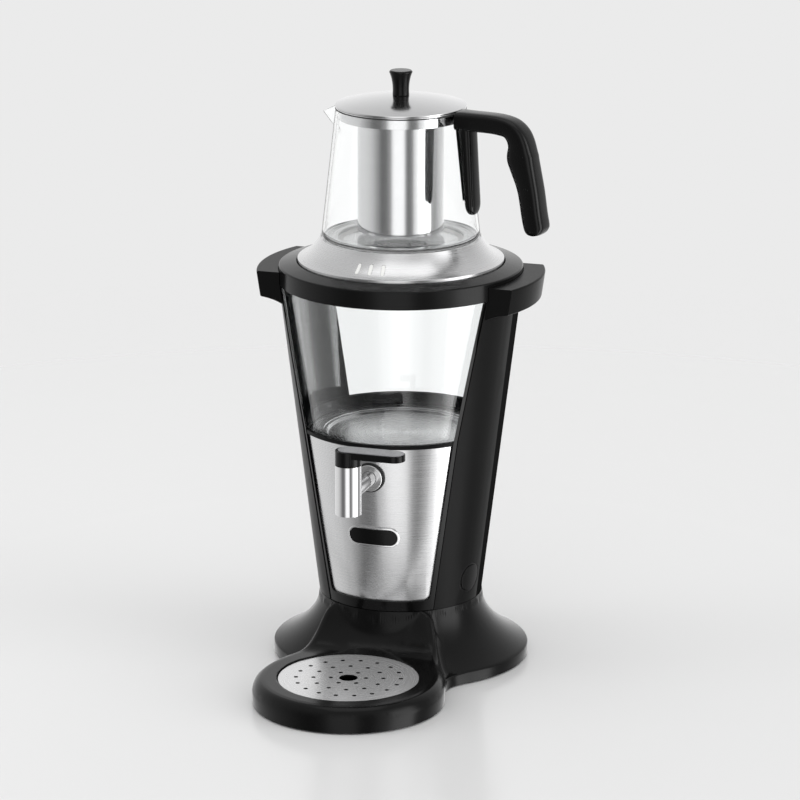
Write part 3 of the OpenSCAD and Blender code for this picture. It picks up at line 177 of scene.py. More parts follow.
class Tree:
    """Node tree of a new material, with short calls to add and join nodes."""

    def __init__(self, name):
        self.material = bpy.data.materials.new(name)
        self.material.use_nodes = True
        self.nodes = self.material.node_tree.nodes
        self.links = self.material.node_tree.links
        self.shader = self.nodes["Principled BSDF"]
        self.place = self.nodes.new("ShaderNodeTexCoord").outputs["Object"]

    def set(self, **values):
        for key, value in values.items():
            self.shader.inputs[key.replace("_", " ")].default_value = value

    def noise(self, scale, detail=2.0, rough=0.55, place=None):
        noise = self.nodes.new("ShaderNodeTexNoise")
        noise.inputs["Scale"].default_value = scale
        noise.inputs["Detail"].default_value = detail
        noise.inputs["Roughness"].default_value = rough
        self.links.new(place or self.place, noise.inputs["Vector"])
        return noise.outputs["Fac"]

    def math(self, operation, a, b):
        node = self.nodes.new("ShaderNodeMath")
        node.operation = operation
        for socket, value in zip(node.inputs, (a, b)):
            if isinstance(value, (int, float)):
                socket.default_value = value
            else:
                self.links.new(value, socket)
        return node.outputs["Value"]

    def turned(self, centre_y):
        """Place as distance from an upright axis, a little of the angle round it, and height."""
        parts = self.nodes.new("ShaderNodeSeparateXYZ")
        self.links.new(self.place, parts.inputs["Vector"])
        x, z = parts.outputs["X"], parts.outputs["Z"]
        y = self.math("SUBTRACT", parts.outputs["Y"], centre_y)
        square = self.math("ADD", self.math("MULTIPLY", x, x), self.math("MULTIPLY", y, y))
        radius = self.math("SQRT", square, 0.0)
        angle = self.math("MULTIPLY", self.math("ARCTAN2", x, y), MARK_DRIFT)
        join = self.nodes.new("ShaderNodeCombineXYZ")
        for socket, value in zip(join.inputs, (radius, angle, z)):
            self.links.new(value, socket)
        return join.outputs["Vector"]

    def span(self, value, low, high, start=0.3, end=0.7):
        """Value from start to end spread over low to high."""
        node = self.nodes.new("ShaderNodeMapRange")
        for key, number in zip(("From Min", "From Max", "To Min", "To Max"), (start, end, low, high)):
            node.inputs[key].default_value = number
        self.links.new(value, node.inputs["Value"])
        return node.outputs["Result"]

    def blend(self, factor, first, second):
        node = self.nodes.new("ShaderNodeMix")
        node.data_type = "RGBA"
        node.inputs["A"].default_value = (*first, 1)
        node.inputs["B"].default_value = (*second, 1)
        self.links.new(factor, node.inputs["Factor"])
        return node.outputs["Result"]

    def bump(self, height, strength, distance):
        node = self.nodes.new("ShaderNodeBump")
        node.inputs["Strength"].default_value = strength
        node.inputs["Distance"].default_value = distance
        self.links.new(height, node.inputs["Height"])
        self.links.new(node.outputs["Normal"], self.shader.inputs["Normal"])

    def to(self, value, key):
        self.links.new(value, self.shader.inputs[key])

    def done(self, slot):
        MATERIALS[slot] = self.material


def plastic(slot, dark, pale, rough, grain, relief, shine=0.5):
    """Moulded plastic: fine grain in the surface, slow drift in shade and gloss."""
    t = Tree(slot)
    t.set(IOR=1.5, Specular_IOR_Level=shine)
    drift = t.noise(22)
    fine = t.noise(grain)
    t.to(t.blend(drift, dark, pale), "Base Color")
    t.to(t.span(fine, rough * 0.88, rough * 1.12), "Roughness")
    t.bump(fine, relief, GRAIN_DEPTH)
    t.done(slot)


def steel(slot, dark, pale, rough, grain, relief, anisotropy, centre_y=0.0, metallic=1.0):
    """Steel with fine marks that run round an upright axis, as brushing and spinning leave them."""
    t = Tree(slot)
    t.set(Metallic=metallic, Anisotropic=anisotropy, Anisotropic_Rotation=0.25)
    marks = t.noise(grain, detail=4.0, rough=0.6, place=t.turned(centre_y))
    t.to(t.blend(marks, dark, pale), "Base Color")
    t.to(t.span(marks, rough * 0.85, rough * 1.15), "Roughness")
    t.bump(marks, relief, MARK_DEPTH)
    if anisotropy:
        tangent = t.nodes.new("ShaderNodeTangent")
        tangent.direction_type = "RADIAL"
        tangent.axis = "Z"
        t.to(tangent.outputs["Tangent"], "Tangent")
    t.done(slot)


def glass(slot, tint, edge, rough, ior, outline):
    """Clear glass with painted shade where it is seen edge on, a darker tint and a dark outline, whose
    shadow is only its tint.
    """
    t = Tree(slot)
    t.set(IOR=ior, Transmission_Weight=1.0)
    facing = t.nodes.new("ShaderNodeLayerWeight")
    facing.inputs["Blend"].default_value = 0.5
    # Painted shade: the tint turns to the darker edge colour where the glass is seen edge on
    painted_edge_shade = t.span(facing.outputs["Facing"], 0.0, 1.0, TINT_FROM, 1.0)
    t.to(t.blend(painted_edge_shade, tint, edge), "Base Color")
    t.to(t.span(t.noise(30), rough, rough * 3), "Roughness")
    # Painted shade: a dark matte shader mixed in as an outline where the glass is seen almost edge on
    dark = t.nodes.new("ShaderNodeBsdfDiffuse")
    dark.inputs["Color"].default_value = (0.02, 0.02, 0.02, 1)
    rim = t.nodes.new("ShaderNodeMixShader")
    painted_outline = t.span(facing.outputs["Facing"], 0.0, outline, OUTLINE_FROM, OUTLINE_TO)
    t.links.new(painted_outline, rim.inputs["Fac"])
    t.links.new(t.shader.outputs["BSDF"], rim.inputs[1])
    t.links.new(dark.outputs["BSDF"], rim.inputs[2])
    path = t.nodes.new("ShaderNodeLightPath")
    clear = t.nodes.new("ShaderNodeBsdfTransparent")
    clear.inputs["Color"].default_value = (*tint, 1)
    mix = t.nodes.new("ShaderNodeMixShader")
    t.links.new(path.outputs["Is Shadow Ray"], mix.inputs["Fac"])
    t.links.new(rim.outputs["Shader"], mix.inputs[1])
    t.links.new(clear.outputs["BSDF"], mix.inputs[2])
    t.links.new(mix.outputs["Shader"], t.nodes["Material Output"].inputs["Surface"])
    t.done(slot)


def grey(level):
    return (level, level, level)


plastic("base_black", grey(0.003), grey(0.005), 0.20, 900, 0.06, 0.15)
plastic("column_black", grey(0.005), grey(0.008), 0.32, 1100, 0.10, 0.06)
plastic("ring_black", grey(0.004), grey(0.006), 0.20, 1100, 0.05, 0.15)
plastic("rear_black", grey(0.008), grey(0.012), 0.34, 900, 0.06, 0.0)
plastic("gloss_black", grey(0.003), grey(0.005), 0.16, 600, 0.02, 0.16)
plastic("handle_black", grey(0.003), grey(0.005), 0.20, 900, 0.05, 0.20)
plastic("inner_plastic", (0.30, 0.30, 0.29), (0.40, 0.40, 0.38), 0.45, 700, 0.10)
plastic("inlay_grey", (0.20, 0.20, 0.21), (0.27, 0.27, 0.28), 0.30, 900, 0.08)
plastic("vent_white", (0.88, 0.88, 0.86), (0.93, 0.93, 0.91), 0.40, 600, 0.05)
plastic("rubber", grey(0.010), grey(0.018), 0.62, 1300, 0.20)
plastic("silicone", (0.50, 0.50, 0.49), (0.62, 0.62, 0.60), 0.50, 500, 0.08)
plastic("ceramic", (0.62, 0.59, 0.50), (0.74, 0.71, 0.62), 0.60, 800, 0.12)
plastic("board_green", (0.03, 0.14, 0.05), (0.05, 0.20, 0.08), 0.35, 400, 0.06)
plastic("lead_red", (0.28, 0.05, 0.03), (0.38, 0.08, 0.05), 0.60, 1500, 0.25)
steel("brushed_steel", (0.58, 0.58, 0.585), (0.68, 0.68, 0.685), 0.28, 1500, 0.10, 0.7)
steel("grille_steel", (0.70, 0.70, 0.705), (0.76, 0.76, 0.765), 0.26, 900, 0.02, 0.0, TRAY_Y * MM, 0.6)
steel("lid_steel", (0.56, 0.56, 0.565), (0.62, 0.62, 0.625), 0.16, 1200, 0.02, 0.0)
steel("plate_steel", (0.44, 0.44, 0.445), (0.60, 0.60, 0.605), 0.26, 900, 0.03, 0.85)
steel("spun_steel", grey(0.58), grey(0.68), 0.22, 1200, 0.06, 0.0)
steel("polished_steel", (0.66, 0.66, 0.665), (0.72, 0.72, 0.725), 0.08, 1200, 0.01, 0.0)
steel("element_steel", (0.26, 0.25, 0.24), (0.38, 0.37, 0.36), 0.42, 500, 0.15, 0.0)
steel("brass", (0.60, 0.46, 0.20), (0.72, 0.56, 0.27), 0.28, 1200, 0.06, 0.0)
glass("tank_glass", (0.97, 0.98, 0.98), (0.35, 0.37, 0.37), 0.004, 1.45, 0.4)
glass("pot_glass", (0.985, 0.99, 0.99), grey(0.20), 0.003, 1.2, 0.85)


# Base
CURVE_STEPS = 400


def curve_table(points):
    """Second coordinate of a curve as a function of its first."""
    table = np.array(bezier(points, CURVE_STEPS))
    order = np.argsort(table[:, 0])
    return table[order, 0], table[order, 1]


FLARE_F, FLARE_G = curve_table([(0, 1), (0.02, 0.435), (0.69, 0.13), (1, 0)])
DECK_Y, DECK_H = curve_table([(CREST_Y, SEAM_Z), (63.0, 47.0), (67.5, TRAY_Z), (90.6, TRAY_Z)])
BEVEL_Q, BEVEL_D = curve_table([(0, 0), (TRAY_R - TRAY_RIM_R - 0.6, 1.6), (TRAY_R - TRAY_RIM_R, 11.0)])
OUTLINE_BLEND, VALLEY_BLEND = 30.0, 5.0
CREST_EASE, CREST_CUT, DECK_EASE, COLLAR_EASE = 1.2, 0.25, 6.0, 2.5
EDGE_EASE, EDGE_CUT, LIP_EASE, LIP_CUT = 1.2, 0.9, 1.0, 0.7
OUTLINE_POINTS, SEAM_POINTS, RECESS_POINTS = 420, 220, 200
SEAM_ROW_POINTS, RECESS_ROW_POINTS = 200, 190
OUTLINE_NEAR, OUTLINE_FAR, HALVINGS = 20.0, 200.0, 40
GRID_X, GRID_Y, GRID_SHIFT = np.arange(-106, 107, 3.0), np.arange(-213, 101, 2.6), 1.5
BASE_MIDDLE = np.array([0.0, -68.0])
CREST_OFFSETS = (-2.6, -1.2, 0.0, 0.8, 1.8, 3.2, 4.8, 6.2, 7.2, 7.8)
EDGE_ROWS = (0.25, 0.6, 1.2, 2.2, 3.6)
SEAM_ROWS = (0.5, 1.1, 1.9, 3.0, 4.4, 6.2)
RECESS_ROWS = (0.2, 0.5, 1.0, 2.0)


def smooth_min(a, b, k):
    """Lesser of two heights, with a soft change between them."""
    h = np.maximum(k - np.abs(a - b), 0.0) / k
    return np.minimum(a, b) - h * h * k / 4


def smooth_max(a, b, k):
    return -smooth_min(-a, -b, k)


def outline_field(x, y):
    """Rough distance outside the base's outline."""
    flare = (np.sqrt((x / BASE_X) ** 2 + (y / BASE_Y) ** 2) - 1) * 0.5 * (BASE_X + BASE_Y)
    tray = np.hypot(x, y - TRAY_Y) - TRAY_R
    return smooth_min(flare, tray, OUTLINE_BLEND)


def flare_height(x, y):
    """Height of the flared foot round the body."""
    r = np.hypot(x, y)
    c = x / np.maximum(r, 1e-6)
    s = y / np.maximum(r, 1e-6)
    edge = 1 / np.sqrt((c / BASE_X) ** 2 + (s / BASE_Y) ** 2)
    share = np.clip((r - SEAM_R) / (edge - SEAM_R), 0, 1)
    return EDGE_Z + (SEAM_Z - EDGE_Z) * np.interp(share, FLARE_F, FLARE_G)


def deck_half(y):
    """Half width of the deck at a distance in front of the axis."""
    share = np.clip((y - CREST_Y) / (-TRAY_Y - CREST_Y), 0, 1)
    return CREST_X + (TRAY_RIM_R - CREST_X) * np.sin(share * math.pi / 2)


def deck_height(x, y):
    """Height of the deck that runs from the body to the tray, and of its sides."""
    front = -y
    level = np.interp(front, DECK_Y, DECK_H)
    slope = deck_half(front + 0.5) - deck_half(front - 0.5)
    side = (np.abs(x) - deck_half(front)) / np.sqrt(1 + slope ** 2)
    rim = np.hypot(x, y - TRAY_Y) - TRAY_RIM_R
    outside = np.where(front > -TRAY_Y, rim, np.minimum(side, np.where(front > 100, rim, 1e3)))
    fall = np.interp(outside, BEVEL_Q, BEVEL_D) + np.maximum(outside - BEVEL_Q[-1], 0) * 3
    worn = CREST_CUT * np.clip(1 - np.abs(outside) / CREST_EASE, 0, 1) ** 2
    return level - np.where(outside > 0, fall, 0) - worn


def base_height(x, y):
    """Height of the base's top, with its edges eased."""
    front = -y
    flare = flare_height(x, y)
    deck = deck_height(x, y)
    inside = np.clip((deck_half(front) - np.abs(x)) / DECK_EASE, 0, 1)
    collar = np.clip((np.hypot(x, y) - SEAM_R) / COLLAR_EASE, 0, 1)
    scoop = np.where(front > CREST_Y - 2, inside * collar, 0)
    flare = flare + (np.minimum(flare, deck) - flare) * scoop
    height = np.where(front > CREST_Y - 4, smooth_max(flare, deck, VALLEY_BLEND), flare)
    edge = np.clip(1 + outline_field(x, y) / EDGE_EASE, 0, 1)
    height = height - EDGE_CUT * (1 - np.sqrt(1 - edge ** 2))
    lip = np.clip(1 - (np.hypot(x, y - TRAY_Y) - RECESS_R) / LIP_EASE, 0, 1)
    return np.minimum(height, SEAM_Z) - LIP_CUT * (1 - np.sqrt(1 - lip ** 2))


def outline_loop(count):
    """Points round the base's outline, seen from a point between the body and the tray."""
    out = []
    for k in range(count):
        a = 2 * math.pi * k / count
        d = np.array([math.cos(a), math.sin(a)])
        low, high = OUTLINE_NEAR, OUTLINE_FAR
        for _ in range(HALVINGS):
            mid = (low + high) / 2
            p = BASE_MIDDLE + d * mid
            if outline_field(p[0], p[1]) < 0:
                low = mid
            else:
                high = mid
        out.append(BASE_MIDDLE + d * low)
    return np.array(out)


def ring(radius, centre_y, count):
    a = np.linspace(0, 2 * math.pi, count, endpoint=False)
    return np.stack([radius * np.cos(a), centre_y + radius * np.sin(a)], 1)


def crest_rows():
    """Rows of points along the deck's crest lines and the tray's rim."""
    line = [(deck_half(y), -y) for y in np.arange(CREST_Y + 1, 100, 1.6)]
    round_tray = np.radians(np.arange(64.5, 180, 1.4))
    rim = [(TRAY_RIM_R * math.sin(a), TRAY_Y + TRAY_RIM_R * math.cos(a)) for a in round_tray]
    path = np.array(line + rim)
    along = np.gradient(path, axis=0)
    normal = np.stack([-along[:, 1], along[:, 0]], 1)
    normal /= np.linalg.norm(normal, axis=1)[:, None]
    rows = []
    for q in CREST_OFFSETS:
        right = path + normal * q
        rows.append(right)
        rows.append(right * [-1, 1])
    return np.concatenate(rows)


def base_skin():
    """Base as a net of triangles over its plan, with walls down at its edges."""
    outline = outline_loop(OUTLINE_POINTS)
    seam = ring(SEAM_R, 0, SEAM_POINTS)
    recess = ring(RECESS_R, TRAY_Y, RECESS_POINTS)
    inward = BASE_MIDDLE - outline
    inward /= np.linalg.norm(inward, axis=1)[:, None]
    rows = [outline + inward * d for d in EDGE_ROWS]
    rows += [ring(SEAM_R + d, 0, SEAM_ROW_POINTS) for d in SEAM_ROWS]
    rows += [ring(RECESS_R + d, TRAY_Y, RECESS_ROW_POINTS) for d in RECESS_ROWS]
    rows = np.concatenate(rows)
    crest = crest_rows()
    gx, gy = np.meshgrid(GRID_X, GRID_Y)
    gx = gx + np.where(np.arange(gy.shape[0])[:, None] % 2 == 0, GRID_SHIFT, 0.0)
    grid = np.stack([gx.ravel(), gy.ravel()], 1)

    def keep(points, clear):
        r_seam = np.hypot(points[:, 0], points[:, 1]) - SEAM_R
        r_recess = np.hypot(points[:, 0], points[:, 1] - TRAY_Y) - RECESS_R
        edge = -outline_field(points[:, 0], points[:, 1])
        return points[(r_seam > clear) & (r_recess > clear) & (edge > clear)]

    def thin(points, others, gap):
        cell = {}
        for p in others:
            cell.setdefault((int(p[0] // gap), int(p[1] // gap)), []).append(p)
        out = []
        for p in points:
            i, j = int(p[0] // gap), int(p[1] // gap)
            near = (q for a in (i - 1, i, i + 1) for b in (j - 1, j, j + 1) for q in cell.get((a, b), ()))
            if all((p[0] - q[0]) ** 2 + (p[1] - q[1]) ** 2 > gap * gap for q in near):
                out.append(p)
        return np.array(out)

    rows = keep(rows, 0.15)
    crest = thin(keep(crest, 1.0), rows, 0.9)
    inner = np.concatenate([rows, crest])
    grid = thin(keep(grid, 2.0), inner, 2.0)
    flat = np.concatenate([outline, seam, recess, inner, grid])
    n_out, n_seam, n_rec = len(outline), len(seam), len(recess)

    def loop(first, count):
        return [(first + k, first + (k + 1) % count) for k in range(count)]

    edges = loop(0, n_out) + loop(n_out, n_seam) + loop(n_out + n_seam, n_rec)
    spots = [Vector(p) for p in flat]
    verts, _, faces, origin, _, _ = delaunay_2d_cdt(spots, edges, [], 0, 1e-5, True)
    xy = np.array([tuple(v) for v in verts])
    height = base_height(xy[:, 0], xy[:, 1])
    r_seam = np.hypot(xy[:, 0], xy[:, 1])
    height = np.where(r_seam < SEAM_R + 0.05, SEAM_Z, height)
    points = [(p[0], p[1], z) for p, z in zip(xy, height)]
    solid = []
    for face in faces:
        c = xy[list(face)].mean(axis=0)
        if np.hypot(c[0], c[1]) < SEAM_R - 0.02 or np.hypot(c[0], c[1] - TRAY_Y) < RECESS_R - 0.02:
            continue
        if outline_field(c[0], c[1]) > 0.3:
            continue
        solid.append(tuple(face))
    where = {}
    for k, sources in enumerate(origin):
        for s in sources:
            where[s] = k

    def skirt(first, count, levels):
        """Walls from a loop of the top down through rings of points."""
        above = [where[first + k] for k in range(count)]
        for level in levels:
            below = []
            for k in range(count):
                x, y = flat[first + k]
                if level[0] is not None:
                    centre_y, radius = level[0]
                    a = 2 * math.pi * k / count
                    x, y = radius * math.cos(a), centre_y + radius * math.sin(a)
                points.append((x, y, level[1]))
                below.append(len(points) - 1)
            for k in range(count):
                j = (k + 1) % count
                solid.append((above[k], above[j], below[j], below[k]))
            above = below
        solid.append(tuple(above))

    skirt(0, n_out, [(None, 5.0), (None, BASE_LIFT)])
    skirt(n_out, n_seam, [((0, SEAM_R - 3), SEAM_Z)])
    well = [((TRAY_Y, RECESS_R), 20.0), ((TRAY_Y, RECESS_R), LEDGE_Z), ((TRAY_Y, WELL_R), LEDGE_Z),
            ((TRAY_Y, WELL_R), WELL_Z)]
    skirt(n_out + n_seam, n_rec, well)
    mesh = mesh_from("base_skin", points, solid, 50)
    return link("base_skin", mesh, "body", "base_black", "base_shell")


# Teapot
def pot_glass():
    """Turned glass with a pinched pouring lip towards -X."""
    corner = POT_CORNER
    inner_corner = corner - POT_WALL + 0.8
    slope = (POT_FOOT_R - POT_RIM_R) / (POT_RIM_Z - POT_Z - corner)
    foot = [(POT_FOOT_R - corner + corner * math.sin(a), POT_Z + corner - corner * math.cos(a))
            for a in np.radians(np.linspace(0, 90, 9))]
    wall_z = np.linspace(POT_Z + corner, POT_RIM_Z - 1.1, 46)
    wall = [(POT_FOOT_R - (z - POT_Z - corner) * slope, z) for z in wall_z[1:]]
    half = POT_WALL / 2
    rim = [(POT_RIM_R - half + half * math.cos(a), POT_RIM_Z - half + half * math.sin(a))
           for a in np.radians(np.linspace(20, 160, 7))]
    inside = [(r - POT_WALL, z) for r, z in reversed(wall)]
    bowl_r = POT_FOOT_R - POT_WALL - inner_corner
    bowl_z = POT_Z + POT_FLOOR + inner_corner
    bowl = [(bowl_r + inner_corner * math.sin(a), bowl_z - inner_corner * math.cos(a))
            for a in np.radians(np.linspace(90, 0, 9))]
    inside = [p for p in inside if p[1] > bowl[0][1] + 0.5]
    profile = [(0, POT_Z)] + foot + wall + rim + inside + bowl + [(0, POT_Z + POT_FLOOR)]
    fan = np.radians(np.concatenate([np.linspace(-180, -20, 70, endpoint=False),
                                     np.linspace(-20, 20, 41, endpoint=False),
                                     np.linspace(20, 180, 70, endpoint=False)]))
    points, faces = [], []
    count = len(profile)
    for a in fan:
        pinch = max(0.0, 1 - abs(a) / LIP_HALF)
        pinch = pinch * (0.45 + 0.55 * pinch)
        for r, z in profile:
            out = max(0.0, 1 - (POT_RIM_Z - z) / LIP_DEPTH) * pinch
            radius = r + LIP_REACH * out
            points.append((-radius * math.cos(a), -radius * math.sin(a), z - LIP_DROP * out))
    sides = len(fan)
    for s in range(sides):
        t = (s + 1) % sides
        for i in range(count - 1):
            faces.append((s * count + i, t * count + i, t * count + i + 1, s * count + i + 1))
    mesh = mesh_from("teapot_glass_skin", turn(points, POT_TURN), faces, 60)
    return link("teapot_glass_skin", mesh, "teapot", "pot_glass", "teapot_glass")


def spline(path, steps):
    """Smooth line through the given points, which may hold more than three numbers."""
    pts = [np.array(p, float) for p in path]
    pts = [2 * pts[0] - pts[1]] + pts + [2 * pts[-1] - pts[-2]]
    out = []
    for i in range(1, len(pts) - 2):
        for k in range(steps):
            t = k / steps
            a, b, c, d = pts[i - 1:i + 3]
            out.append(0.5 * (2 * b + (c - a) * t + (2 * a - 5 * b + 4 * c - d) * t ** 2
                              + (3 * b - a - 3 * c + d) * t ** 3))
    out.append(pts[-2])
    return out


SWEEP_SIDES = 40


def oblong_sweep(path, steps, power):
    """Points and faces of a rounded oblong swept along a path in the XZ plane."""
    line = spline(path, steps)
    sides = SWEEP_SIDES
    points, faces = [], []
    for i, p in enumerate(line):
        a, b = line[max(i - 1, 0)], line[min(i + 1, len(line) - 1)]
        angle = math.atan2(b[1] - a[1], b[0] - a[0])
        for k in range(sides):
            t = 2 * math.pi * k / sides
            u = p[2] * math.copysign(abs(math.cos(t)) ** power, math.cos(t))
            v = p[3] * math.copysign(abs(math.sin(t)) ** power, math.sin(t))
            points.append((p[0] + u * math.sin(angle), v, p[1] - u * math.cos(angle)))
    for i in range(len(line) - 1):
        for k in range(sides):
            j = (k + 1) % sides
            faces.append((i * sides + k, i * sides + j, (i + 1) * sides + j, (i + 1) * sides + k))
    faces.append(tuple(range(sides - 1, -1, -1)))
    faces.append(tuple(range((len(line) - 1) * sides, len(line) * sides)))
    return points, faces


def pot_handle():
    """Arm, grip and tongue of the handle; each row of the arm is X, Z and two half widths."""
    t, w, gx, gap = HANDLE_T, HANDLE_W, HANDLE_REACH, HANDLE_GAP
    slope = (POT_FOOT_R - POT_RIM_R) / (POT_RIM_Z - POT_Z - POT_CORNER)

    def glass_r(z):
        return POT_FOOT_R - (z - POT_Z - POT_CORNER) * slope

    arm = [
        (POT_RIM_R + 1.2, ARM_Z, t - 0.2, 11.2),
        (POT_RIM_R + 4, ARM_Z, t, 11),
        (POT_RIM_R + 8, ARM_Z, t, 10.6),
        (POT_RIM_R + 13, ARM_Z, t, 10.2),
        (gx - 40.5, ARM_Z, t, w),
        (gx - 30.5, ARM_Z - 0.7, t, w),
        (gx - 22.5, ARM_Z - 2.7, t, w),
        (gx - 17, ARM_Z - 7.7, t + 0.8, w),
        (gx - 14, ARM_Z - 14.8, t + 1.7, w),
        (gx - 13.1, ARM_Z - 23.8, t + 3.7, w),
        (gx - 11.2, ARM_Z - 30.8, t + 3.2, w),
        (gx - 7.3, ARM_Z - 43.3, t + 1.8, w),
        (gx - 4.9, ARM_Z - 53.3, t + 1.3, w),
        (gx - 2.3, ARM_Z - 69.3, t + 1.1, w),
        (gx - 0.4, GRIP_Z + 7.5, t + 0.9, w),
        (gx + 0.2, GRIP_Z + 4.2, t + 0.2, w - 0.5),
        (gx + 0.7, GRIP_Z + 1.8, t - 1.5, w - 2.0),
        (gx + 1.0, GRIP_Z + 0.4, t - 3.8, w - 4.4),
        (gx + 1.1, GRIP_Z, t - 6.0, w - 7),
    ]
    points, faces = oblong_sweep(arm, 5, 0.48)
    top = ARM_Z - 4
    low = TONGUE_Z + 10
    levels = [top + (low - top) * k / 4 for k in range(5)]

    def half(z):
        return 4.3 + 1.9 * (z - low) / (top - low)

    tongue = [(glass_r(z) + gap + half(z), z, half(z), 9.0) for z in levels]
    for z, thick, wide in ((6, 4.0, 8.4), (3, 3.4, 6.9), (1.0, 2.5, 4.6), (0.1, 1.5, 2.2)):
        tongue.append((glass_r(TONGUE_Z + z) + gap + half(TONGUE_Z + z), TONGUE_Z + z, thick, wide))
    more, more_faces = oblong_sweep(tongue, 4, 0.7)
    faces += [tuple(i + len(points) for i in face) for face in more_faces]
    points += more
    held = []
    for x, y, z in points:
        least = LID_ROOM_R if z > LID_ROOM_Z else glass_r(z) + gap + 0.02
        if math.hypot(x, y) < least and x > 0:
            x = math.sqrt(max(least * least - y * y, 0.0))
        held.append((x, y, z))
    mesh = mesh_from("pot_handle_skin", turn(held, POT_TURN), faces, 60)
    return link("pot_handle_skin", mesh, "teapot", "gloss_black", "pot_handle")


def ring_piece(name, body, slot, radius, z, half_r, half_z):
    """Thin round bead about the body's axis."""
    corners = np.radians(np.arange(0, 360, 36))
    profile = [(radius + half_r * math.cos(a), z + half_z * math.sin(a)) for a in corners]
    return link(name, lathe(name, profile, angle=60), body, slot)


def warming_plate():
    """Turned plate with a sunk middle, with a ring of dark steel laid on its step as painted shade."""
    least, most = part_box("warming_plate")
    low, high, edge = least[2] / MM, most[2] / MM, most[0] / MM
    sunk = high - SUNK_DEPTH
    profile = [(0.01, low), (edge - 0.4, low), (edge, low + 0.4), (edge, high - 0.4), (edge - 0.4, high),
               (SUNK_R + 0.6, high), (SUNK_R, high - 0.3), (SUNK_R - 0.4, sunk), (0.01, sunk)]
    skin = lathe("warming_plate_skin", profile)
    link("warming_plate_skin", skin, "tank_lid", "polished_steel", "warming_plate")
    # Painted shade: a thin ring of dark steel on the step of the sunk middle
    step = [(SUNK_R - 4.2, sunk), (SUNK_R - 0.2, sunk), (SUNK_R + 0.2, high - 0.6),
            (SUNK_R - 0.6, high - 0.7), (SUNK_R - 3.8, sunk + 0.25)]
    link("plate_step", lathe("plate_step", step), "tank_lid", "element_steel")


def vent_lens(name, angle):
    """White pill that fills a slot of the dome, flush with its face."""
    dome = nodes["lid_dome"].data
    tree = BVHTree.FromPolygons([v.co for v in dome.vertices], [p.vertices for p in dome.polygons])
    beside = angle + VENT_PITCH / 2
    straight = (VENT_LEN - VENT_W) / 2
    rows = []
    for u in np.linspace(-VENT_LEN / 2, VENT_LEN / 2, 15):
        r = VENT_R + u
        start = Vector((r * math.cos(beside) * MM, r * math.sin(beside) * MM, 0.5))
        z = tree.ray_cast(start, Vector((0, 0, -1)))[0][2] / MM
        half = math.sqrt(max(VENT_W ** 2 / 4 - max(abs(u) - straight, 0.0) ** 2, 1e-4))
        rows.append([(r, half * v, z - 0.05) for v in (-1, -0.5, 0, 0.5, 1)])
    across = len(rows[0])
    top = [p for row in rows for p in row]
    points = top + [(x, y, z - VENT_T) for x, y, z in top]
    below = len(top)
    faces = []
    for i in range(len(rows) - 1):
        a, b = i * across, (i + 1) * across
        for k in range(across - 1):
            faces.append((a + k, b + k, b + k + 1, a + k + 1))
            faces.append((below + a + k, below + a + k + 1, below + b + k + 1, below + b + k))
        for k in (0, across - 1):
            faces.append((a + k, b + k, below + b + k, below + a + k))
    for i in (0, len(rows) - 1):
        for k in range(across - 1):
            a = i * across + k
            faces.append((a, a + 1, below + a + 1, below + a))
    return link(name, mesh_from(name, turn(points, angle), faces, 50), "tank_lid", "vent_white")


# Pieces with a shape of their own
base_skin()
pot_glass()
pot_handle()
warming_plate()
for k in range(3):
    vent_lens("vent_lens_%d" % k, VENT_ANGLE + (k - 1) * VENT_PITCH)
# Thin dark ring of rubber just under the pot lid's rim
ring_piece("lid_gasket", "pot_cover", "rubber", POT_RIM_R + 0.2, POT_RIM_Z - 0.35, 0.3, 0.5)
bead_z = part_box("heater_plate")[1][2] / MM + 0.2
ring_piece("heater_bead", "body", "polished_steel", BEAD_R, bead_z, 1.0, 0.5)

# Solids whose own shape is right, with their edges rounded
DRESSED = [
    ("left_column", "body", "column_black", 0.6), ("right_column", "body", "column_black", 0.6),
    ("rear_housing", "body", "gloss_black", 0.5), ("left_lug", "body", "column_black", 1.6),
    ("right_lug", "body", "column_black", 1.6), ("front_frame", "body", "gloss_black", 0.5),
    ("front_panel", "body", "brushed_steel", 0.15), ("badge_rim", "body", "polished_steel", 0.35),
    ("badge_plate", "body", "gloss_black", 0.15), ("upper_ring", "body", "column_black", 0.5),
    ("tank_band", "body", "column_black", 0.25), ("drip_grille", "grille", "brushed_steel", 0.25),
    ("tap_gasket", "body", "rubber", 0.3), ("tap_rosette", "body", "spun_steel", 0.6),
    ("tap_stem", "body", "polished_steel", 0.2), ("tap_spout", "body", "polished_steel", 0.5),
    ("tap_lever", "tap_handle", "gloss_black", 0.8), ("lever_inlay", "tap_handle", "inlay_grey", 0.25),
    ("power_button", "button", "gloss_black", 0.5), ("button_bezel", "body", "gloss_black", 0.25),
    ("lid_dome", "tank_lid", "brushed_steel", 0.25),
    ("infuser_basket", "infuser", "polished_steel", 0.2), ("pot_lid", "pot_cover", "polished_steel", 0.3),
    ("lid_knob", "pot_cover", "gloss_black", 0.4), ("cord_gland", "body", "rubber", 0.5),
    ("heater_plate", "body", "brushed_steel", 0.3),
]
for node, body, slot, width in DRESSED:
    dress(node, body, slot, width)

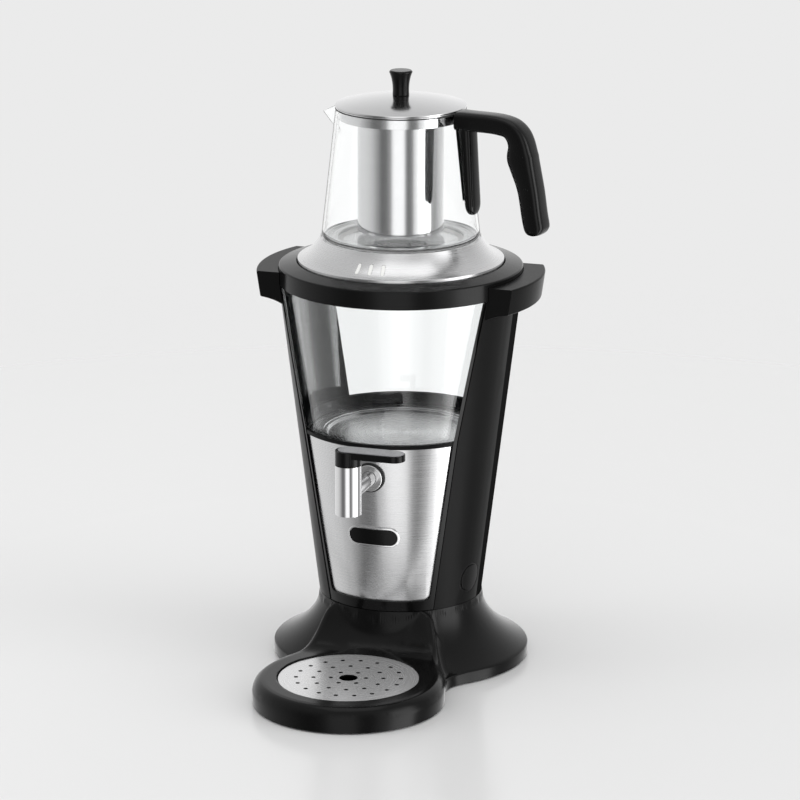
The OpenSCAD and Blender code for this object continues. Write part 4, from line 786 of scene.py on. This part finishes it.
# Materials of every piece and of the solids that stay
slot_of = {row["node"]: row["material_slot"] for row in frame["record"]["subparts"]}
for name, obj in nodes.items():
    obj.data.materials.clear()
    obj.data.materials.append(MATERIALS[slot_of[name]])
look_of = {node + "_skin": slot for node, _, slot, _ in DRESSED}
look_of.update({"vent_lens_%d" % k: "vent_white" for k in range(3)})
look_of.update({
    "base_skin": "base_black", "teapot_glass_skin": "pot_glass", "pot_handle_skin": "handle_black",
    "warming_plate_skin": "polished_steel", "plate_step": "element_steel", "lid_gasket": "rubber",
    "heater_bead": "polished_steel", "rear_housing_skin": "rear_black", "upper_ring_skin": "ring_black",
    "drip_grille_skin": "grille_steel", "heater_plate_skin": "plate_steel", "pot_lid_skin": "lid_steel",
})
for name, look in look_of.items():
    mesh = bpy.data.objects[name].data
    mesh.materials.clear()
    mesh.materials.append(MATERIALS[look])

# Painted shade in the holes of the grille: faces near the hub that are not flat, the hole walls and their
# rounded edges, take the black of the base
HOLES_R, FACE_UP = 52 * MM, 0.97
grille = bpy.data.objects["drip_grille_skin"].data
grille.materials.append(MATERIALS["base_black"])
for face in grille.polygons:
    from_hub = math.hypot(face.center.x, face.center.y - TRAY_Y * MM)
    if from_hub < HOLES_R and abs(face.normal.z) < FACE_UP:
        face.material_index = 1

# Floor: a disc that fades into the backdrop
FLOOR_R, FADE_FROM, FADE_TO = 1.6, 0.45, 1.3
bpy.ops.mesh.primitive_circle_add(vertices=128, radius=FLOOR_R, fill_type="NGON", location=(0, 0, 0))
floor = bpy.context.object
floor.name = "floor"
floor.visible_glossy = False
floor.visible_transmission = False
ft = Tree("floor")
ft.set(IOR=1.35, Roughness=0.2)
ft.to(ft.blend(ft.noise(3.0), grey(0.82), grey(0.83)), "Base Color")
length = ft.nodes.new("ShaderNodeVectorMath")
length.operation = "LENGTH"
ft.links.new(ft.place, length.inputs[0])
ft.to(ft.span(length.outputs["Value"], 1.0, 0.0, FADE_FROM, FADE_TO), "Alpha")
floor.data.materials.append(ft.material)

# World: pale backdrop, with a soft studio that shows in metal and gloss
BACKDROP = 0.83
OVERHEAD, OVERHEAD_FROM = 0.75, 0.9
THROUGH_GLASS = 1.03
TOP_LEVEL = 4.4
# Degrees round from the front, and the level there
STUDIO = [
    (-180, 1.15), (-120, 0.95), (-92, 0.92), (-66, 0.75), (-46, 0.42),
    (-28, 0.20), (-12, 0.40), (4, 1.40), (22, 1.40), (38, 0.25),
    (54, 0.95), (64, 1.50), (72, 3.10), (80, 4.20), (96, 4.20),
    (104, 1.20), (116, 0.45), (140, 0.70), (180, 1.15),
]
world = bpy.data.worlds.new("studio")
bpy.context.scene.world = world
world.use_nodes = True
wn, wl = world.node_tree.nodes, world.node_tree.links
wn.clear()


def world_math(operation, a, b):
    node = wn.new("ShaderNodeMath")
    node.operation = operation
    for socket, value in zip(node.inputs, (a, b)):
        if isinstance(value, (int, float)):
            socket.default_value = value
        else:
            wl.new(value, socket)
    return node.outputs["Value"]


direction = wn.new("ShaderNodeSeparateXYZ")
wl.new(wn.new("ShaderNodeTexCoord").outputs["Generated"], direction.inputs["Vector"])
ahead = world_math("MULTIPLY", direction.outputs["Y"], -1.0)
around = world_math("ARCTAN2", direction.outputs["X"], ahead)
share = world_math("ADD", world_math("DIVIDE", around, 2 * math.pi), 0.5)
ramp = wn.new("ShaderNodeFloatCurve")
knots = ramp.mapping.curves[0].points
for k, (angle, level) in enumerate(STUDIO):
    at = (angle + 180) / 360
    if k == 0:
        knots[0].location = (at, level / TOP_LEVEL)
    elif k == len(STUDIO) - 1:
        knots[-1].location = (at, level / TOP_LEVEL)
    else:
        knots.new(at, level / TOP_LEVEL)
ramp.mapping.update()
wl.new(share, ramp.inputs["Value"])
side = world_math("MULTIPLY", ramp.outputs["Value"], TOP_LEVEL)
upness = wn.new("ShaderNodeMapRange")
upness.interpolation_type = "SMOOTHERSTEP"
upness.inputs["From Min"].default_value = 0.0
upness.inputs["From Max"].default_value = OVERHEAD_FROM
wl.new(direction.outputs["Z"], upness.inputs["Value"])


def world_mix(factor, a, b):
    node = wn.new("ShaderNodeMix")
    for key, value in (("Factor", factor), ("A", a), ("B", b)):
        if isinstance(value, (int, float)):
            node.inputs[key].default_value = value
        else:
            wl.new(value, node.inputs[key])
    return node.outputs["Result"]


ray = wn.new("ShaderNodeLightPath").outputs
studio = world_mix(upness.outputs["Result"], side, OVERHEAD)
straight = world_math("LESS_THAN", ray["Glossy Depth"], 0.5)
through = world_math("MULTIPLY", ray["Is Transmission Ray"], straight)
level = world_mix(through, studio, THROUGH_GLASS)
level = world_mix(ray["Is Camera Ray"], level, BACKDROP)
background = wn.new("ShaderNodeBackground")
wl.new(level, background.inputs["Strength"])
background.inputs["Color"].default_value = (1, 1, 1, 1)
out = wn.new("ShaderNodeOutputWorld")
wl.new(background.outputs["Background"], out.inputs["Surface"])


# Lamps
def softbox(name, place, target, size, power, shows):
    """Soft lamp that points at a target and may show in gloss."""
    lamp = bpy.data.lights.new(name, "AREA")
    lamp.shape = "RECTANGLE"
    lamp.size, lamp.size_y = size
    lamp.energy = power
    obj = bpy.data.objects.new(name, lamp)
    obj.location = place
    obj.rotation_euler = (Vector(target) - Vector(place)).to_track_quat("-Z", "Y").to_euler()
    obj.visible_glossy = shows
    bpy.context.scene.collection.objects.link(obj)


softbox("top_light", (0.12, -0.2, 1.9), (0, 0, 0.2), (1.4, 1.4), 5.5, True)
softbox("left_light", (-1.5, -0.7, 0.9), (0, 0, 0.25), (0.6, 1.3), 4, False)

# Camera
AZIMUTH, ELEVATION, DISTANCE = math.radians(18.0), math.radians(15.51), 3.139
AIM_Z, FOCAL_PX, FRAME_PX, CENTRE_PX, SENSOR_MM = 0.2129, 3871.0, 800.0, 400.9, 36.0
camera = bpy.data.objects.new("camera", bpy.data.cameras.new("camera"))
camera.data.sensor_width = SENSOR_MM
camera.data.lens = SENSOR_MM * FOCAL_PX / FRAME_PX
camera.data.shift_x = (FRAME_PX / 2 - CENTRE_PX) / FRAME_PX
camera.data.clip_end = 50
level_out = DISTANCE * math.cos(ELEVATION)
camera_z = AIM_Z + DISTANCE * math.sin(ELEVATION)
camera.location = (level_out * math.sin(AZIMUTH), -level_out * math.cos(AZIMUTH), camera_z)
camera.rotation_euler = (math.pi / 2 - ELEVATION, 0, AZIMUTH)
bpy.context.scene.collection.objects.link(camera)
bpy.context.scene.camera = camera
bpy.context.scene.view_settings.view_transform = "Standard"
